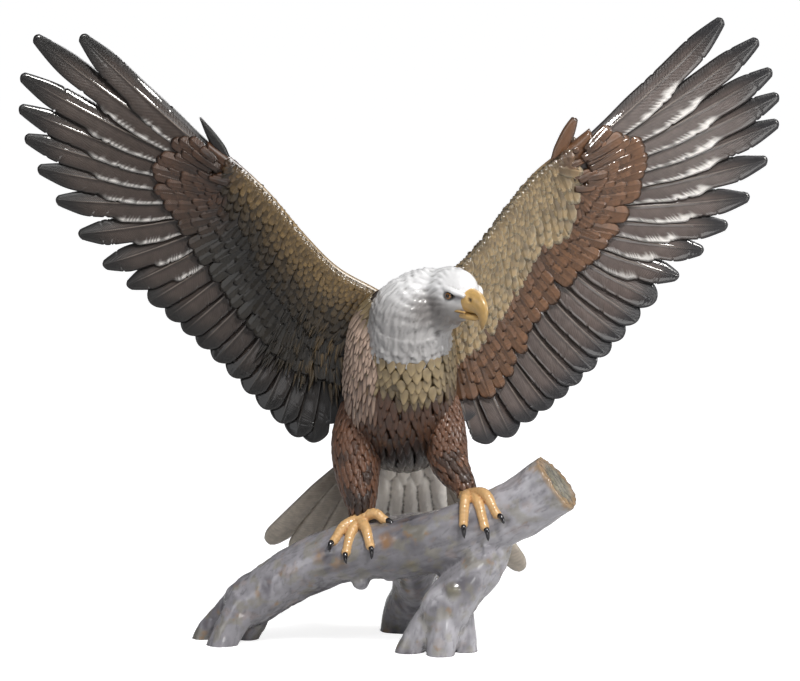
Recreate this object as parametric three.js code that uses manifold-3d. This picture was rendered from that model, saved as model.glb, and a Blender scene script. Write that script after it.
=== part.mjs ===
// A porcelain eagle landing on a broken log, as one fired piece. Millimetres, +Z up, seen from -Y.
import * as THREE from 'three';
import { mergeVertices } from 'three/addons/utils/BufferGeometryUtils.js';
import Module from 'manifold-3d';

const wasm = await Module();
wasm.setup();

// Height of the figure, and the height at which its pose is drawn below
const FIGURE_HEIGHT = 572;
const POSE_HEIGHT = 572;
const POSE_SCALE = FIGURE_HEIGHT / POSE_HEIGHT;

// Flight feathers, counted from the leading edge to the body
const FLIGHT_FEATHERS = 23;
const LAST_FEATHER = 22;
const FLIGHT_THICKNESS = 5.6;
const FLIGHT_OVERLAP_TILT = 2.2;
const PRIMARY_WIDTH = 25;
const SECONDARY_WIDTH = 25;
const LEADING_VANE = 0.38;
const PRIMARIES_END = 9;
const THUMB_FEATHER_WIDTH = 15;

// Arm and coverts of a wing
const ARM_THICKNESS = 19;
const ARM_TAPER = 1.4;
const WRIST_SHARE = 0.62;
const COVERT_LENGTH = 44;
const COVERT_THICKNESS = 10;
const COVERT_STEP = 1.8;
const COVERT_ROWS = 5;
// Rows crowd toward the leading edge, and the first one is thinner
const COVERT_CROWDING = 0.85;
const COVERT_FIRST_SHARE = 0.125;
const COVERTS_IN_ROW = 9;
const COVERT_POINT = 4.5;
const COVERED_SHARE = 0.6;
const FEATHER_BOW = 0.02;
const WING_CAMBER = 12;
const WING_SWEEP = 14;

// Plumage of the body, neck and thighs
const PLUMAGE_STEP = 2.4;
const BODY_ROWS = 7;
const BODY_SIDES = 20;
const NECK_ROWS = 5;
const NECK_SIDES = 20;
const THIGH_ROWS = 4;
const THIGH_SIDES = 12;
const PLUMAGE_POINT = 3.2;

// Tail fan: middle of its root and of its end, half widths, and how far the right side hangs lower
const TAIL_FEATHERS = 11;
const TAIL_ROOT = [3, 93, 158];
const TAIL_ROOT_SPREAD = 48;
const TAIL_ROOT_FALL = 6;
const TAIL_END = [-5, 172, 62];
const TAIL_SPREAD = 132;
const TAIL_FALL = 14.5;
// The middle feathers reach further back and lower than the outermost
const TAIL_REACH = 22;
const TAIL_DROP = 24;
const TAIL_THICKNESS = 7;
const TAIL_STEP = 2.6;
const TAIL_NOTCH = 0.06;
const TAIL_EDGE_SHARE = 0.7;
const TAIL_SLOPE = 0.72;
const TAIL_TURN = 0.08;

// Rump, and the row of soft lobes under the tail: depth and height of each lobe's root, bulge and end
const RUMP_CENTRE = [3, 104, 158];
const RUMP_HALF = new THREE.Vector3(48, 14, 30);
const VENT_LOBES = 5;
const VENT_MIDDLE = 10;
const VENT_SPACING = 11.9;
const VENT_PATH = [[84, 166], [82, 140], [97, 112]];
const VENT_DROP = 4;
const VENT_LOBE_RADIUS = [7.6, 8.4, 6.8];

// Head: places are given forward, toward the viewer and up from the middle of the cranium
const HEAD_YAW = 37;
const HEAD_CENTRE = [46, -22, 328];
const CRANIUM = new THREE.Vector3(28, 22, 26);
const NAPE_PLACE = [-9, 0, 0];
const NAPE = new THREE.Vector3(28, 22, 24);
const EYE_RADIUS = 4.6;
const EYE_PLACE = [16, 15, 2];
const BROW = [[2, 14, 9.5], [18, 15.5, 6.3], [28, 8.5, 1.5]];
const BROW_RADIUS = [3.4, 3.6, 2.4];
// Rings of a beak: ahead, up, half width, half height, lean
const UPPER_BEAK = [
  [12, -2, 12, 13, 0],
  [20, -2, 11, 12, 0],
  [32, -3, 8.5, 11, 0],
  [41, -6, 6, 9, 0.3],
  [46, -13, 4, 5.5, 0.9],
  [46, -21, 2.2, 3, 1.5],
  [44.5, -27, 0.6, 0.8, 1.5],
];
const LOWER_BEAK = [
  [10, -14, 9, 5, 0],
  [24, -15.5, 7, 4.5, 0],
  [36, -17, 4, 3, 0],
  [40, -17.5, 1.5, 1.2, 0],
];

// Feet
const TOE_RADIUS = 4.4;
const TOE_TAPER = [1.25, 1.1, 1.05];
const KNUCKLE_SHARE = 0.6;
const CLAW_RADIUS = 2.9;
const CLAW_TAPER = [1, 0.85, 0.12];
const CLAW_ARCH = [0, -1.5, 2];
const HUB_RADIUS = 9;
const HUB_FLATNESS = 0.8;

// Log
const LOG_SIDES = 10;
// Waves round the limb, how far they wind along it, and their height as a share of the radius
const LOG_FLUTES = [[3, 5, 0.07], [2, -9, 0.035]];
const KNOB_RADIUS = 9;

// Keys of one wing as seen from the front: feather number, distance out from the middle, height
const LEFT_WING = {
  side: -1,
  lead: [
    [0, 178, 461], [6, 152, 443], [10, 121, 415], [14, 87, 376], [18, 57, 347], [22, 23, 328], [25, -6, 312],
  ],
  quill: [
    [0, 177, 450], [4, 175, 418], [8, 157, 389], [12, 124, 355], [16, 96, 310], [20, 75, 280], [25, 30, 262],
  ],
  tip: [
    [0, 294, 557], [1, 337, 556], [2, 350, 520], [4, 347, 463], [6, 319, 405], [8, 276, 344], [10, 233, 310],
    [14, 172, 256], [18, 111, 199], [20, 81, 182], [21, 64, 200], [22, 50, 209], [25, 20, 200],
  ],
  thumb: [[159, 442], [184, 482]],
};
const RIGHT_WING = {
  side: 1,
  lead: [
    [0, 174, 472], [6, 147, 451], [10, 122, 431], [14, 95, 398], [18, 68, 363], [22, 32, 332], [25, 6, 312],
  ],
  quill: [
    [0, 180, 461], [4, 183, 419], [8, 159, 380], [12, 124, 353], [16, 91, 303], [20, 57, 270], [25, 20, 258],
  ],
  tip: [
    [0, 297, 572], [1, 330, 553], [2, 343, 525], [4, 350, 477], [6, 324, 408], [8, 282, 358], [10, 238, 311],
    [14, 180, 248], [18, 123, 201], [20, 83, 181], [21, 62, 203], [22, 48, 214], [25, 20, 205],
  ],
  thumb: [[147, 449], [161, 482]],
};

// How far back the wing lies, by distance out from the middle
const WING_DEPTH = [[0, 52], [60, 58], [120, 76], [180, 90], [250, 97], [350, 99]];

// Keys of rounded forms: share of the length, x, y, z, half width, half depth
const BODY = [
  [0, 6, 22, 318, 30, 30],
  [0.15, 2, 30, 296, 43, 41],
  [0.35, 1, 37, 265, 48, 48],
  [0.55, 0, 49, 230, 49, 50],
  [0.72, 2, 64, 204, 45, 44],
  [0.86, 4, 84, 184, 38, 33],
  [0.95, 5, 100, 171, 28, 22],
  [1, 6, 110, 164, 15, 11],
];
const NECK = [
  [0, 36, -14, 336, 13, 13],
  [0.14, 28, -9, 332, 21.5, 21.5],
  [0.35, 12, -2, 314, 32.5, 32.5],
  [0.6, 8, 5, 301, 37.5, 37.5],
  [0.82, 8, 12, 281, 36.5, 38],
  [1, 8, 19, 260, 33, 37],
];
const LEFT_THIGH = [
  [0, -33, 60, 222, 19, 24],
  [0.3, -39, 52, 188, 22, 27],
  [0.6, -39, 42, 158, 19, 21],
  [0.88, -36, 33, 130, 12, 13],
  [1, -37, 29, 119, 7.5, 8],
];
const RIGHT_THIGH = [
  [0, 32, 54, 226, 20, 25],
  [0.32, 40, 42, 194, 19, 25],
  [0.62, 46, 32, 168, 15.5, 20],
  [0.86, 57, 20, 152, 10, 11],
  [1, 61, 14, 143, 7.5, 8],
];

// Keys of the log and its feet: share of the length, x, y, z, radius across, radius in depth
const TRUNK = [
  [0, -153, 54, 25, 16, 18],
  [0.14, -139, 52, 35, 23, 24],
  [0.3, -92, 44, 67, 25, 25],
  [0.45, -46, 34, 87, 27, 27],
  [0.58, 0, 22, 95, 28, 28],
  [0.7, 41, 11, 104, 28, 28],
  [0.82, 82, 3, 120, 27, 27],
  [0.92, 117, -4, 138, 27, 27],
  [1, 143, -11, 158, 29, 28],
];
const FRONT_BRANCH = [
  [0, 84, 6, 112, 20, 20],
  [0.25, 71, 0, 80, 23, 22],
  [0.5, 54, -3, 56, 23, 21],
  [0.78, 41, -2, 37, 22, 21],
  [1, 38, 0, 24, 17, 16],
];
const REAR_STUMP = [
  [0, 16, 32, 84, 20, 20],
  [0.4, 13, 72, 48, 20, 20],
  [0.7, 8, 99, 22, 21, 20],
  [1, 5, 114, -14, 26, 23],
];
// Each prong of a foot: where it leaves the log and where it meets the floor, x, y, z, radius
const PRONGS = [
  [[-148, 62, 38, 14], [-181, 70, 3, 10]],
  [[-140, 45, 40, 18], [-163, 38, 3, 13]],
  [[-128, 58, 36, 15], [-141, 68, 3, 11]],
  [[43, 4, 50, 17], [10, 4, 3, 13]],
  [[45, -4, 46, 18], [37, -10, 3, 13.5]],
  [[50, 4, 46, 16], [59, 8, 3, 12]],
];
const FLOOR_CUT = 12;
const KNOBS = [[-36, 26, 58], [-10, 22, 66], [48, -20, 62]];

// Feet: the hub, how far a knuckle arches over the log, and each toe's end with the point of its claw
const LEFT_FOOT = {
  hub: [-37, 28, 118],
  arch: [0, 0, 5],
  toes: [
    [[-60, 13, 100], [-63, 4, 92]],
    [[-49, 4, 91], [-48, -2, 82]],
    [[-27, -2, 98], [-26, -7, 87]],
    [[-14, 15, 119], [-7, 7, 115]],
    [[-38, 53, 110], [-39, 61, 100]],
  ],
};
const RIGHT_FOOT = {
  hub: [61, 14, 143],
  arch: [0, -4, 11],
  toes: [
    [[57, -21, 121], [58, -26, 109]],
    [[76, -25, 119], [79, -29, 107]],
    [[87, -24, 130], [93, -31, 123]],
    [[58, 38, 138], [57, 47, 128]],
  ],
};

// How closely solids are joined, and the shortest edge that is kept
const JOIN_TOLERANCE = 0.05;
const SHORTEST_EDGE = 0.3;

const ACROSS = new THREE.Vector3(1, 0, 0);
const UPWARD = new THREE.Vector3(0, 0, 1);

// A point of the pose, scaled to the figure's height
function pose(x, y, z) {
  return new THREE.Vector3(x, y, z).multiplyScalar(POSE_SCALE);
}

// A smooth curve through keys whose first value is the parameter
function keyed(keys) {
  const width = keys[0].length - 1;
  const parameters = keys.map((key) => key[0]);
  const values = keys.flatMap((key) => key.slice(1));
  const curve = new THREE.CubicInterpolant(parameters, values, width);
  return (at) => Array.from(curve.evaluate(at));
}

// A closed solid from shared points and triangles, turned so that its faces point out
function solid(points, triangles) {
  let volume = 0;
  for (const [a, b, c] of triangles) {
    volume += points[a].dot(points[b].clone().cross(points[c]));
  }
  const order = volume < 0 ? [0, 2, 1] : [0, 1, 2];
  const mesh = new wasm.Mesh({
    numProp: 3,
    tolerance: JOIN_TOLERANCE,
    vertProperties: new Float32Array(points.flatMap((point) => point.toArray())),
    triVerts: new Uint32Array(triangles.flatMap((triangle) => order.map((corner) => triangle[corner]))),
  });
  return new wasm.Manifold(mesh);
}

// A closed three.js geometry as a solid
function solidOf(geometry) {
  geometry.deleteAttribute('normal');
  geometry.deleteAttribute('uv');
  const merged = mergeVertices(geometry);
  const points = [];
  for (let i = 0; i < merged.attributes.position.count; i++) {
    points.push(new THREE.Vector3().fromBufferAttribute(merged.attributes.position, i));
  }
  const corners = Array.from(merged.index.array);
  const triangles = [];
  for (let i = 0; i < corners.length; i += 3) {
    const [a, b, c] = corners.slice(i, i + 3);
    if (a !== b && b !== c && c !== a) {
      triangles.push([a, b, c]);
    }
  }
  return solid(points, triangles);
}

// Two sheets that share their rim, like a cushion; face is 1 in front, -1 behind and 0 on the rim
function pillow(rows, columns, place) {
  const points = [];
  const front = [];
  const back = [];
  for (let i = 0; i <= rows; i++) {
    front.push([]);
    back.push([]);
    for (let j = 0; j <= columns; j++) {
      const rim = i === 0 || i === rows || j === 0 || j === columns;
      front[i].push(points.push(place(i, j, rim ? 0 : 1)) - 1);
      back[i].push(rim ? front[i][j] : points.push(place(i, j, -1)) - 1);
    }
  }
  const triangles = [];
  for (let i = 0; i < rows; i++) {
    for (let j = 0; j < columns; j++) {
      const falling = i < rows / 2 === j < columns / 2;
      for (const [sheet, turn] of [[front, false], [back, true]]) {
        const a = sheet[i][j];
        const b = sheet[i][j + 1];
        const c = sheet[i + 1][j + 1];
        const d = sheet[i + 1][j];
        const pair = falling ? [[a, b, c], [a, c, d]] : [[a, b, d], [b, c, d]];
        triangles.push(...pair.map((triangle) => (turn ? triangle.slice().reverse() : triangle)));
      }
    }
  }
  return solid(points, triangles);
}

// A skin over rings of equal count, closed with a fan at both ends
function loft(rings) {
  const sides = rings[0].length;
  const points = rings.flat();
  const triangles = [];
  for (let i = 0; i + 1 < rings.length; i++) {
    for (let j = 0; j < sides; j++) {
      const a = i * sides + j;
      const b = i * sides + (j + 1) % sides;
      triangles.push([a, b, b + sides], [a, b + sides, a + sides]);
    }
  }
  for (const [ring, turn] of [[0, true], [rings.length - 1, false]]) {
    const middle = rings[ring].reduce((sum, point) => sum.add(point), new THREE.Vector3());
    const centre = points.push(middle.divideScalar(sides)) - 1;
    for (let j = 0; j < sides; j++) {
      const a = ring * sides + j;
      const b = ring * sides + (j + 1) % sides;
      triangles.push(turn ? [centre, b, a] : [centre, a, b]);
    }
  }
  return solid(points, triangles);
}

// A place on a keyed spine: centre, two axes across it and half sizes; the first axis stays near a reference
function spineFrame(curve, at, reference) {
  const small = 0.01;
  const [x, y, z, across, depth] = curve(at);
  const before = new THREE.Vector3(...curve(Math.max(at - small, 0)));
  const after = new THREE.Vector3(...curve(Math.min(at + small, 1)));
  const along = after.sub(before).normalize();
  const first = reference.clone().addScaledVector(along, -reference.dot(along)).normalize();
  const second = along.clone().cross(first);
  return { centre: new THREE.Vector3(x, y, z), along, first, second, across, depth };
}

function ringPoint(frame, angle, grow, slide) {
  return frame.centre.clone()
    .addScaledVector(frame.first, Math.cos(angle) * (frame.across + grow))
    .addScaledVector(frame.second, Math.sin(angle) * (frame.depth + grow))
    .addScaledVector(frame.along, slide)
    .multiplyScalar(POSE_SCALE);
}

// A rounded form in rows of pointed feathers, each row standing over the next
function plumage(keys, rows, sides) {
  const curve = keyed(keys);
  const rings = [];
  for (let row = 0; row < rows; row++) {
    for (const [edge, grow] of [[row, 0], [row + 1, PLUMAGE_STEP]]) {
      const frame = spineFrame(curve, edge / rows, ACROSS);
      const point = edge === 0 || edge === rows ? 0 : PLUMAGE_POINT;
      const ring = [];
      for (let j = 0; j < sides; j++) {
        const slide = (j + edge) % 2 === 0 ? point : -point;
        ring.push(ringPoint(frame, (j / sides) * 2 * Math.PI, grow, slide));
      }
      rings.push(ring);
    }
  }
  return loft(rings);
}

// A gnarled limb: a tube with soft flutes that wind round it
function limb(keys, rings, reference) {
  const sides = LOG_SIDES;
  const curve = keyed(keys);
  const skin = [];
  for (let i = 0; i <= rings; i++) {
    const at = i / rings;
    const frame = spineFrame(curve, at, reference);
    const ring = [];
    for (let j = 0; j < sides; j++) {
      const angle = (j / sides) * 2 * Math.PI;
      const waves = LOG_FLUTES.map(([count, wind, height]) => height * Math.cos(count * angle + wind * at));
      const swell = waves[0] + waves[1];
      ring.push(ringPoint(frame, angle, swell * frame.across, 0));
    }
    skin.push(ring);
  }
  return loft(skin);
}

// A tapered round bar through points, with a radius at each of them
function bar(stops, radii, sides) {
  const curve = new THREE.CatmullRomCurve3(stops);
  const steps = radii.length - 1;
  const rings = radii.map((radius, i) => {
    const centre = curve.getPoint(i / steps);
    const along = curve.getTangent(i / steps);
    const reference = Math.abs(along.x) > 0.75 ? UPWARD : ACROSS;
    const first = reference.clone().addScaledVector(along, -reference.dot(along)).normalize();
    const second = along.clone().cross(first);
    return Array.from({ length: sides }, (_, j) => {
      const angle = (j / sides) * 2 * Math.PI;
      return centre.clone()
        .addScaledVector(first, Math.cos(angle) * radius)
        .addScaledVector(second, Math.sin(angle) * radius);
    });
  });
  return loft(rings);
}

// An egg shape with its own axes
function egg(centre, radii, turn, detail) {
  const geometry = new THREE.SphereGeometry(1, detail, Math.round(detail * 0.7));
  const matrix = new THREE.Matrix4().compose(centre, new THREE.Quaternion().setFromEuler(turn), radii);
  return solidOf(geometry.applyMatrix4(matrix));
}

// A feather: stations from root to tip, half width as a share of the widest
const TAIL_STATIONS = [0, 0.5, 0.9, 1];
const TAIL_COLUMNS = [0, 0.5, 0.98];
const POINTED = [[0, 0.75], [0.5, 1], [0.87, 0.82], [1, 0.26]];
const ROUNDED = [[0, 0.8], [0.86, 1], [0.96, 0.8], [1, 0.42]];

function feather(outline, width, thickness, tilt, vane, place) {
  const edges = [-vane, 0, 1 - vane];
  return pillow(outline.length - 1, 2, (i, j, face) => {
    const [at, share] = outline[i];
    return place(at, edges[j] * share * width, face * thickness / 2 + (j - 1) * tilt);
  });
}

// Where the wing surface lies: feather number and share of the chord, 0 at the leading edge, 1 at the tip
function wingShape(wing) {
  const lead = keyed(wing.lead);
  const quill = keyed(wing.quill);
  const tip = keyed(wing.tip);
  const depth = keyed(WING_DEPTH);

  // Point of the wing in the front view, pushed back by camber and sweep
  function lay(out, high, number, chord, toward) {
    const camber = WING_CAMBER * Math.sin(Math.PI * Math.min(chord, 1));
    const sweep = WING_SWEEP * chord * (1 + number / LAST_FEATHER) / 2;
    const [back] = depth(Math.abs(out));
    return pose(wing.side * out, back + camber + sweep - toward, high);
  }
  return { lead, quill, tip, lay };
}

function flightFeather(wing, shape, number) {
  const root = new THREE.Vector2(...shape.quill(number));
  const end = new THREE.Vector2(...shape.tip(number));
  const run = end.clone().sub(root);
  const length = run.length();
  const along = run.clone().divideScalar(length);
  const trailing = new THREE.Vector2(along.y, -along.x);
  const primary = number <= PRIMARIES_END;
  const width = primary ? PRIMARY_WIDTH : SECONDARY_WIDTH;
  const start = COVERT_LENGTH * COVERED_SHARE / length;
  const bow = FEATHER_BOW * length;
  const leadLength = root.distanceTo(new THREE.Vector2(...shape.lead(number)));
  const outline = primary ? POINTED : ROUNDED;
  const vane = primary ? LEADING_VANE : 0.5;
  return feather(outline, width, FLIGHT_THICKNESS, FLIGHT_OVERLAP_TILT, vane, (at, side, toward) => {
    const run = start + (1 - start) * at;
    const sag = side + bow * Math.sin(Math.PI * run);
    const out = root.x + along.x * length * run + trailing.x * sag;
    const high = root.y + along.y * length * run + trailing.y * sag;
    const chord = (leadLength + length * run) / (leadLength + length);
    return shape.lay(out, high, number, chord, toward);
  });
}

// Arm with rows of coverts on both faces, from the wrist to inside the body
function wingArm(wing, shape) {
  const rows = COVERT_ROWS * 2;
  const columns = COVERTS_IN_ROW * 2;
  const innermost = wing.lead[wing.lead.length - 1][0];
  return pillow(rows + 1, columns, (i, j, face) => {
    const number = innermost * j / columns;
    const start = new THREE.Vector2(...shape.lead(number));
    const root = new THREE.Vector2(...shape.quill(number));
    const end = new THREE.Vector2(...shape.tip(number));
    const reach = end.clone().sub(root).setLength(COVERT_LENGTH);
    const edge = Math.min(Math.ceil(i / 2), COVERT_ROWS);
    const step = i % 2 === 1 && i < rows ? 1 : 0;
    const share = Math.pow(edge / COVERT_ROWS, COVERT_CROWDING);
    const chordLength = start.distanceTo(root) + COVERT_LENGTH;
    const point = edge === 0 ? 0 : COVERT_POINT * ((j + edge) % 2 === 0 ? 1 : -1);
    const distance = share * chordLength + point;
    const kink = start.distanceTo(root);
    const spot = distance < kink
      ? start.clone().lerp(root, distance / kink)
      : root.clone().addScaledVector(reach, (distance - kink) / COVERT_LENGTH);
    const arm = ARM_THICKNESS * Math.pow(1 - share, ARM_TAPER);
    const coverts = COVERT_THICKNESS * Math.min(share / COVERT_FIRST_SHARE, 1);
    const wrist = WRIST_SHARE + (1 - WRIST_SHARE) * Math.min(number / LAST_FEATHER, 1);
    const half = (arm + coverts) * wrist / 2 + COVERT_STEP * (step + (i === rows ? 1 : 0));
    const whole = kink + start.distanceTo(end);
    return shape.lay(spot.x, spot.y, number, distance / whole, face * (i === 0 ? 0 : half));
  });
}

function thumbFeather(wing, shape) {
  const [root, end] = wing.thumb.map((key) => new THREE.Vector2(...key));
  const along = end.clone().sub(root);
  const across = new THREE.Vector2(-along.y, along.x).normalize();
  return feather(POINTED, THUMB_FEATHER_WIDTH, FLIGHT_THICKNESS, 0, 0.5, (at, side, toward) => {
    const spot = root.clone().addScaledVector(along, at).addScaledVector(across, side);
    return shape.lay(spot.x, spot.y, 0, 0, toward);
  });
}

function wing(keys) {
  const shape = wingShape(keys);
  const pieces = [wingArm(keys, shape), thumbFeather(keys, shape)];
  for (let number = 0; number < FLIGHT_FEATHERS; number++) {
    pieces.push(flightFeather(keys, shape, number));
  }
  return pieces;
}

// Tail: one fan from the rump, lower on the right; each feather steps over the next, outward from the middle
function tailFan() {
  const rows = TAIL_STATIONS.length - 1;
  const columns = 3 * TAIL_FEATHERS - 1;
  const facing = new THREE.Vector3(-TAIL_TURN, -Math.cos(TAIL_SLOPE), -Math.sin(TAIL_SLOPE)).normalize();
  return pillow(rows, columns, (i, j, face) => {
    const number = Math.floor(j / 3);
    const part = j % 3;
    const fan = (2 * (number + TAIL_COLUMNS[part]) / TAIL_FEATHERS) - 1;
    const middle = 1 - fan * fan;
    const root = new THREE.Vector3(...TAIL_ROOT);
    root.add(new THREE.Vector3(TAIL_ROOT_SPREAD * fan, 0, -TAIL_ROOT_FALL * fan));
    const end = new THREE.Vector3(...TAIL_END);
    const fall = TAIL_FALL * fan + TAIL_DROP * middle;
    end.add(new THREE.Vector3(TAIL_SPREAD * fan, TAIL_REACH * middle, -fall));
    const at = TAIL_STATIONS[i] * (part === 1 ? 1 : 1 - TAIL_NOTCH * TAIL_STATIONS[i]);
    const step = part === 1 ? 0.5 : part === 2 === fan > 0 ? -0.5 : 0.5;
    const thick = face * TAIL_THICKNESS / 2 * (part === 1 ? 1 : TAIL_EDGE_SHARE);
    return root.lerp(end, at).addScaledVector(facing, thick + step * TAIL_STEP).multiplyScalar(POSE_SCALE);
  });
}

function tail() {
  const rump = RUMP_HALF.clone().multiplyScalar(POSE_SCALE);
  const pieces = [tailFan(), egg(pose(...RUMP_CENTRE), rump, new THREE.Euler(TAIL_SLOPE, 0, 0), 10)];
  for (let i = 0; i < VENT_LOBES; i++) {
    const offset = i - (VENT_LOBES - 1) / 2;
    const stops = VENT_PATH.map(([y, z], stop) => {
      const drop = stop === VENT_PATH.length - 1 ? VENT_DROP * Math.abs(offset) : 0;
      return pose(VENT_MIDDLE + offset * VENT_SPACING, y, z + drop);
    });
    pieces.push(bar(stops, VENT_LOBE_RADIUS.map((radius) => radius * POSE_SCALE), 8));
  }
  return pieces;
}

function head() {
  const yaw = THREE.MathUtils.degToRad(HEAD_YAW);
  const centre = pose(...HEAD_CENTRE);
  const forward = new THREE.Vector3(Math.sin(yaw), -Math.cos(yaw), 0);
  const toward = new THREE.Vector3(-Math.cos(yaw), -Math.sin(yaw), 0);
  const turn = new THREE.Euler(0, 0, yaw - Math.PI / 2);

  function spot(ahead, side, up) {
    return centre.clone()
      .addScaledVector(forward, ahead * POSE_SCALE)
      .addScaledVector(toward, side * POSE_SCALE)
      .addScaledVector(UPWARD, up * POSE_SCALE);
  }
  function beak(keys, sides) {
    return loft(keys.map(([ahead, up, wide, high, lean]) => {
      return Array.from({ length: sides }, (_, j) => {
        const angle = (j / sides) * 2 * Math.PI;
        const rise = Math.sin(angle) * high;
        return spot(ahead + rise * lean, Math.cos(angle) * wide, up + rise);
      });
    }));
  }
  const pieces = [
    egg(centre, CRANIUM.clone().multiplyScalar(POSE_SCALE), turn, 12),
    egg(spot(...NAPE_PLACE), NAPE.clone().multiplyScalar(POSE_SCALE), turn, 12),
    beak(UPPER_BEAK, 10),
    beak(LOWER_BEAK, 8),
  ];
  for (const side of [-1, 1]) {
    const brow = BROW.map(([ahead, out, up]) => spot(ahead, side * out, up));
    pieces.push(bar(brow, BROW_RADIUS.map((radius) => radius * POSE_SCALE), 6));
    const [ahead, out, up] = EYE_PLACE;
    const eye = new THREE.Vector3(EYE_RADIUS, EYE_RADIUS, EYE_RADIUS).multiplyScalar(POSE_SCALE);
    pieces.push(egg(spot(ahead, side * out, up), eye, turn, 7));
  }
  return pieces;
}

// A foot: a round hub with toes that arch over the log, each ending in a claw
function foot(keys) {
  const hub = pose(...keys.hub);
  const size = new THREE.Vector3(HUB_RADIUS, HUB_RADIUS, HUB_RADIUS * HUB_FLATNESS).multiplyScalar(POSE_SCALE);
  const pieces = [egg(hub, size, new THREE.Euler(), 7)];
  for (const [toeEnd, clawEnd] of keys.toes) {
    const end = pose(...toeEnd);
    const point = pose(...clawEnd);
    const knuckle = hub.clone().lerp(end, KNUCKLE_SHARE).add(pose(...keys.arch));
    const radii = TOE_TAPER.map((share) => share * TOE_RADIUS * POSE_SCALE);
    pieces.push(bar([hub, knuckle, end], radii, 6));
    const bend = end.clone().lerp(point, 0.5).add(pose(...CLAW_ARCH));
    const claw = CLAW_TAPER.map((share) => share * CLAW_RADIUS * POSE_SCALE);
    pieces.push(bar([end, bend, point], claw, 5));
  }
  return pieces;
}

function log() {
  const pieces = [limb(TRUNK, 12, UPWARD), limb(FRONT_BRANCH, 5, ACROSS), limb(REAR_STUMP, 4, ACROSS)];
  for (const [top, bottom] of PRONGS) {
    const start = pose(...top.slice(0, 3));
    const end = pose(...bottom.slice(0, 3));
    const below = end.clone().add(pose(0, 0, -FLOOR_CUT));
    const radii = [top[3], bottom[3], bottom[3]].map((radius) => radius * POSE_SCALE);
    pieces.push(bar([start, end, below], radii, 8));
  }
  const knob = new THREE.Vector3(KNOB_RADIUS, KNOB_RADIUS, KNOB_RADIUS).multiplyScalar(POSE_SCALE);
  for (const place of KNOBS) {
    pieces.push(egg(pose(...place), knob, new THREE.Euler(), 7));
  }
  return pieces;
}

// Keeps the outer skin alone: pockets shut in between overlapping feathers are filled in the clay
function outerSkin(mesh) {
  const points = [];
  for (let i = 0; i < mesh.vertProperties.length; i += 3) {
    points.push(new THREE.Vector3().fromArray(mesh.vertProperties, i));
  }
  const parent = points.map((_, i) => i);
  function leader(i) {
    while (parent[i] !== i) {
      parent[i] = parent[parent[i]];
      i = parent[i];
    }
    return i;
  }
  const all = [];
  for (let i = 0; i < mesh.triVerts.length; i += 3) {
    const [a, b, c] = mesh.triVerts.slice(i, i + 3);
    parent[leader(a)] = leader(b);
    parent[leader(b)] = leader(c);
    all.push([a, b, c]);
  }
  const shells = new Map();
  for (const triangle of all) {
    const key = leader(triangle[0]);
    if (!shells.has(key)) {
      shells.set(key, []);
    }
    shells.get(key).push(triangle);
  }
  const triangles = [...shells.values()].sort((first, second) => second.length - first.length)[0];
  return { points, triangles };
}

// Closes up slivers: an edge shorter than the clay can show shrinks to its lower end
function closeShortEdges(points, triangles) {
  const touching = points.map(() => new Set());
  triangles.forEach((triangle, i) => triangle.forEach((point) => touching[point].add(i)));

  function neighbours(point) {
    const found = new Set([...touching[point]].flatMap((i) => triangles[i]));
    found.delete(point);
    return found;
  }
  function shrink(kept, lost) {
    const others = neighbours(lost);
    const shared = [...neighbours(kept)].filter((point) => others.has(point));
    if (shared.length !== 2) {
      return;
    }
    for (const i of [...touching[lost]]) {
      const triangle = triangles[i];
      if (triangle.includes(kept)) {
        triangle.forEach((point) => touching[point].delete(i));
        triangles[i] = null;
      } else {
        triangle[triangle.indexOf(lost)] = kept;
        touching[kept].add(i);
      }
    }
    touching[lost].clear();
  }
  for (let i = 0; i < triangles.length; i++) {
    for (let k = 0; k < 3 && triangles[i]; k++) {
      const a = triangles[i][k];
      const b = triangles[i][(k + 1) % 3];
      if (points[a].distanceTo(points[b]) < SHORTEST_EDGE) {
        shrink(...(points[a].z <= points[b].z ? [a, b] : [b, a]));
      }
    }
  }
  return triangles.filter((triangle) => triangle);
}

// All forms joined, then cut level where the log's feet stand
function eagleOnLog() {
  const pieces = [
    plumage(BODY, BODY_ROWS, BODY_SIDES),
    plumage(NECK, NECK_ROWS, NECK_SIDES),
    plumage(LEFT_THIGH, THIGH_ROWS, THIGH_SIDES),
    plumage(RIGHT_THIGH, THIGH_ROWS, THIGH_SIDES),
    ...wing(LEFT_WING),
    ...wing(RIGHT_WING),
    ...tail(),
    ...head(),
    ...foot(LEFT_FOOT),
    ...foot(RIGHT_FOOT),
    ...log(),
  ];
  const ground = new THREE.BoxGeometry(2 * FIGURE_HEIGHT, 2 * FIGURE_HEIGHT, FIGURE_HEIGHT);
  ground.translate(0, 0, -FIGURE_HEIGHT / 2);
  const joined = pieces.reduce((sum, piece) => sum.add(piece)).subtract(solidOf(ground));
  const { points, triangles } = outerSkin(joined.getMesh());
  const geometry = new THREE.BufferGeometry().setFromPoints(points);
  geometry.setIndex(closeShortEdges(points, triangles).flat());

  // The origin is the middle of the footprint's box, on the floor
  const skin = mergeVertices(geometry.toNonIndexed());
  skin.computeBoundingBox();
  const middle = skin.boundingBox.getCenter(new THREE.Vector3());
  return skin.translate(-middle.x, -middle.y, -skin.boundingBox.min.z);
}

const glaze = new THREE.MeshStandardMaterial({ color: 0x6b4a34, roughness: 0.15, metalness: 0 });
const eagle = new THREE.Mesh(eagleOnLog(), glaze);
eagle.name = 'eagle_on_log';

const part = new THREE.Group();
part.add(eagle);

export default part;
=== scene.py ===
"""A glazed porcelain eagle landing on a broken log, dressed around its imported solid. Metres, +Z up."""

import functools
import math

import bpy
import numpy as np
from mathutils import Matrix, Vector, noise


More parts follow.
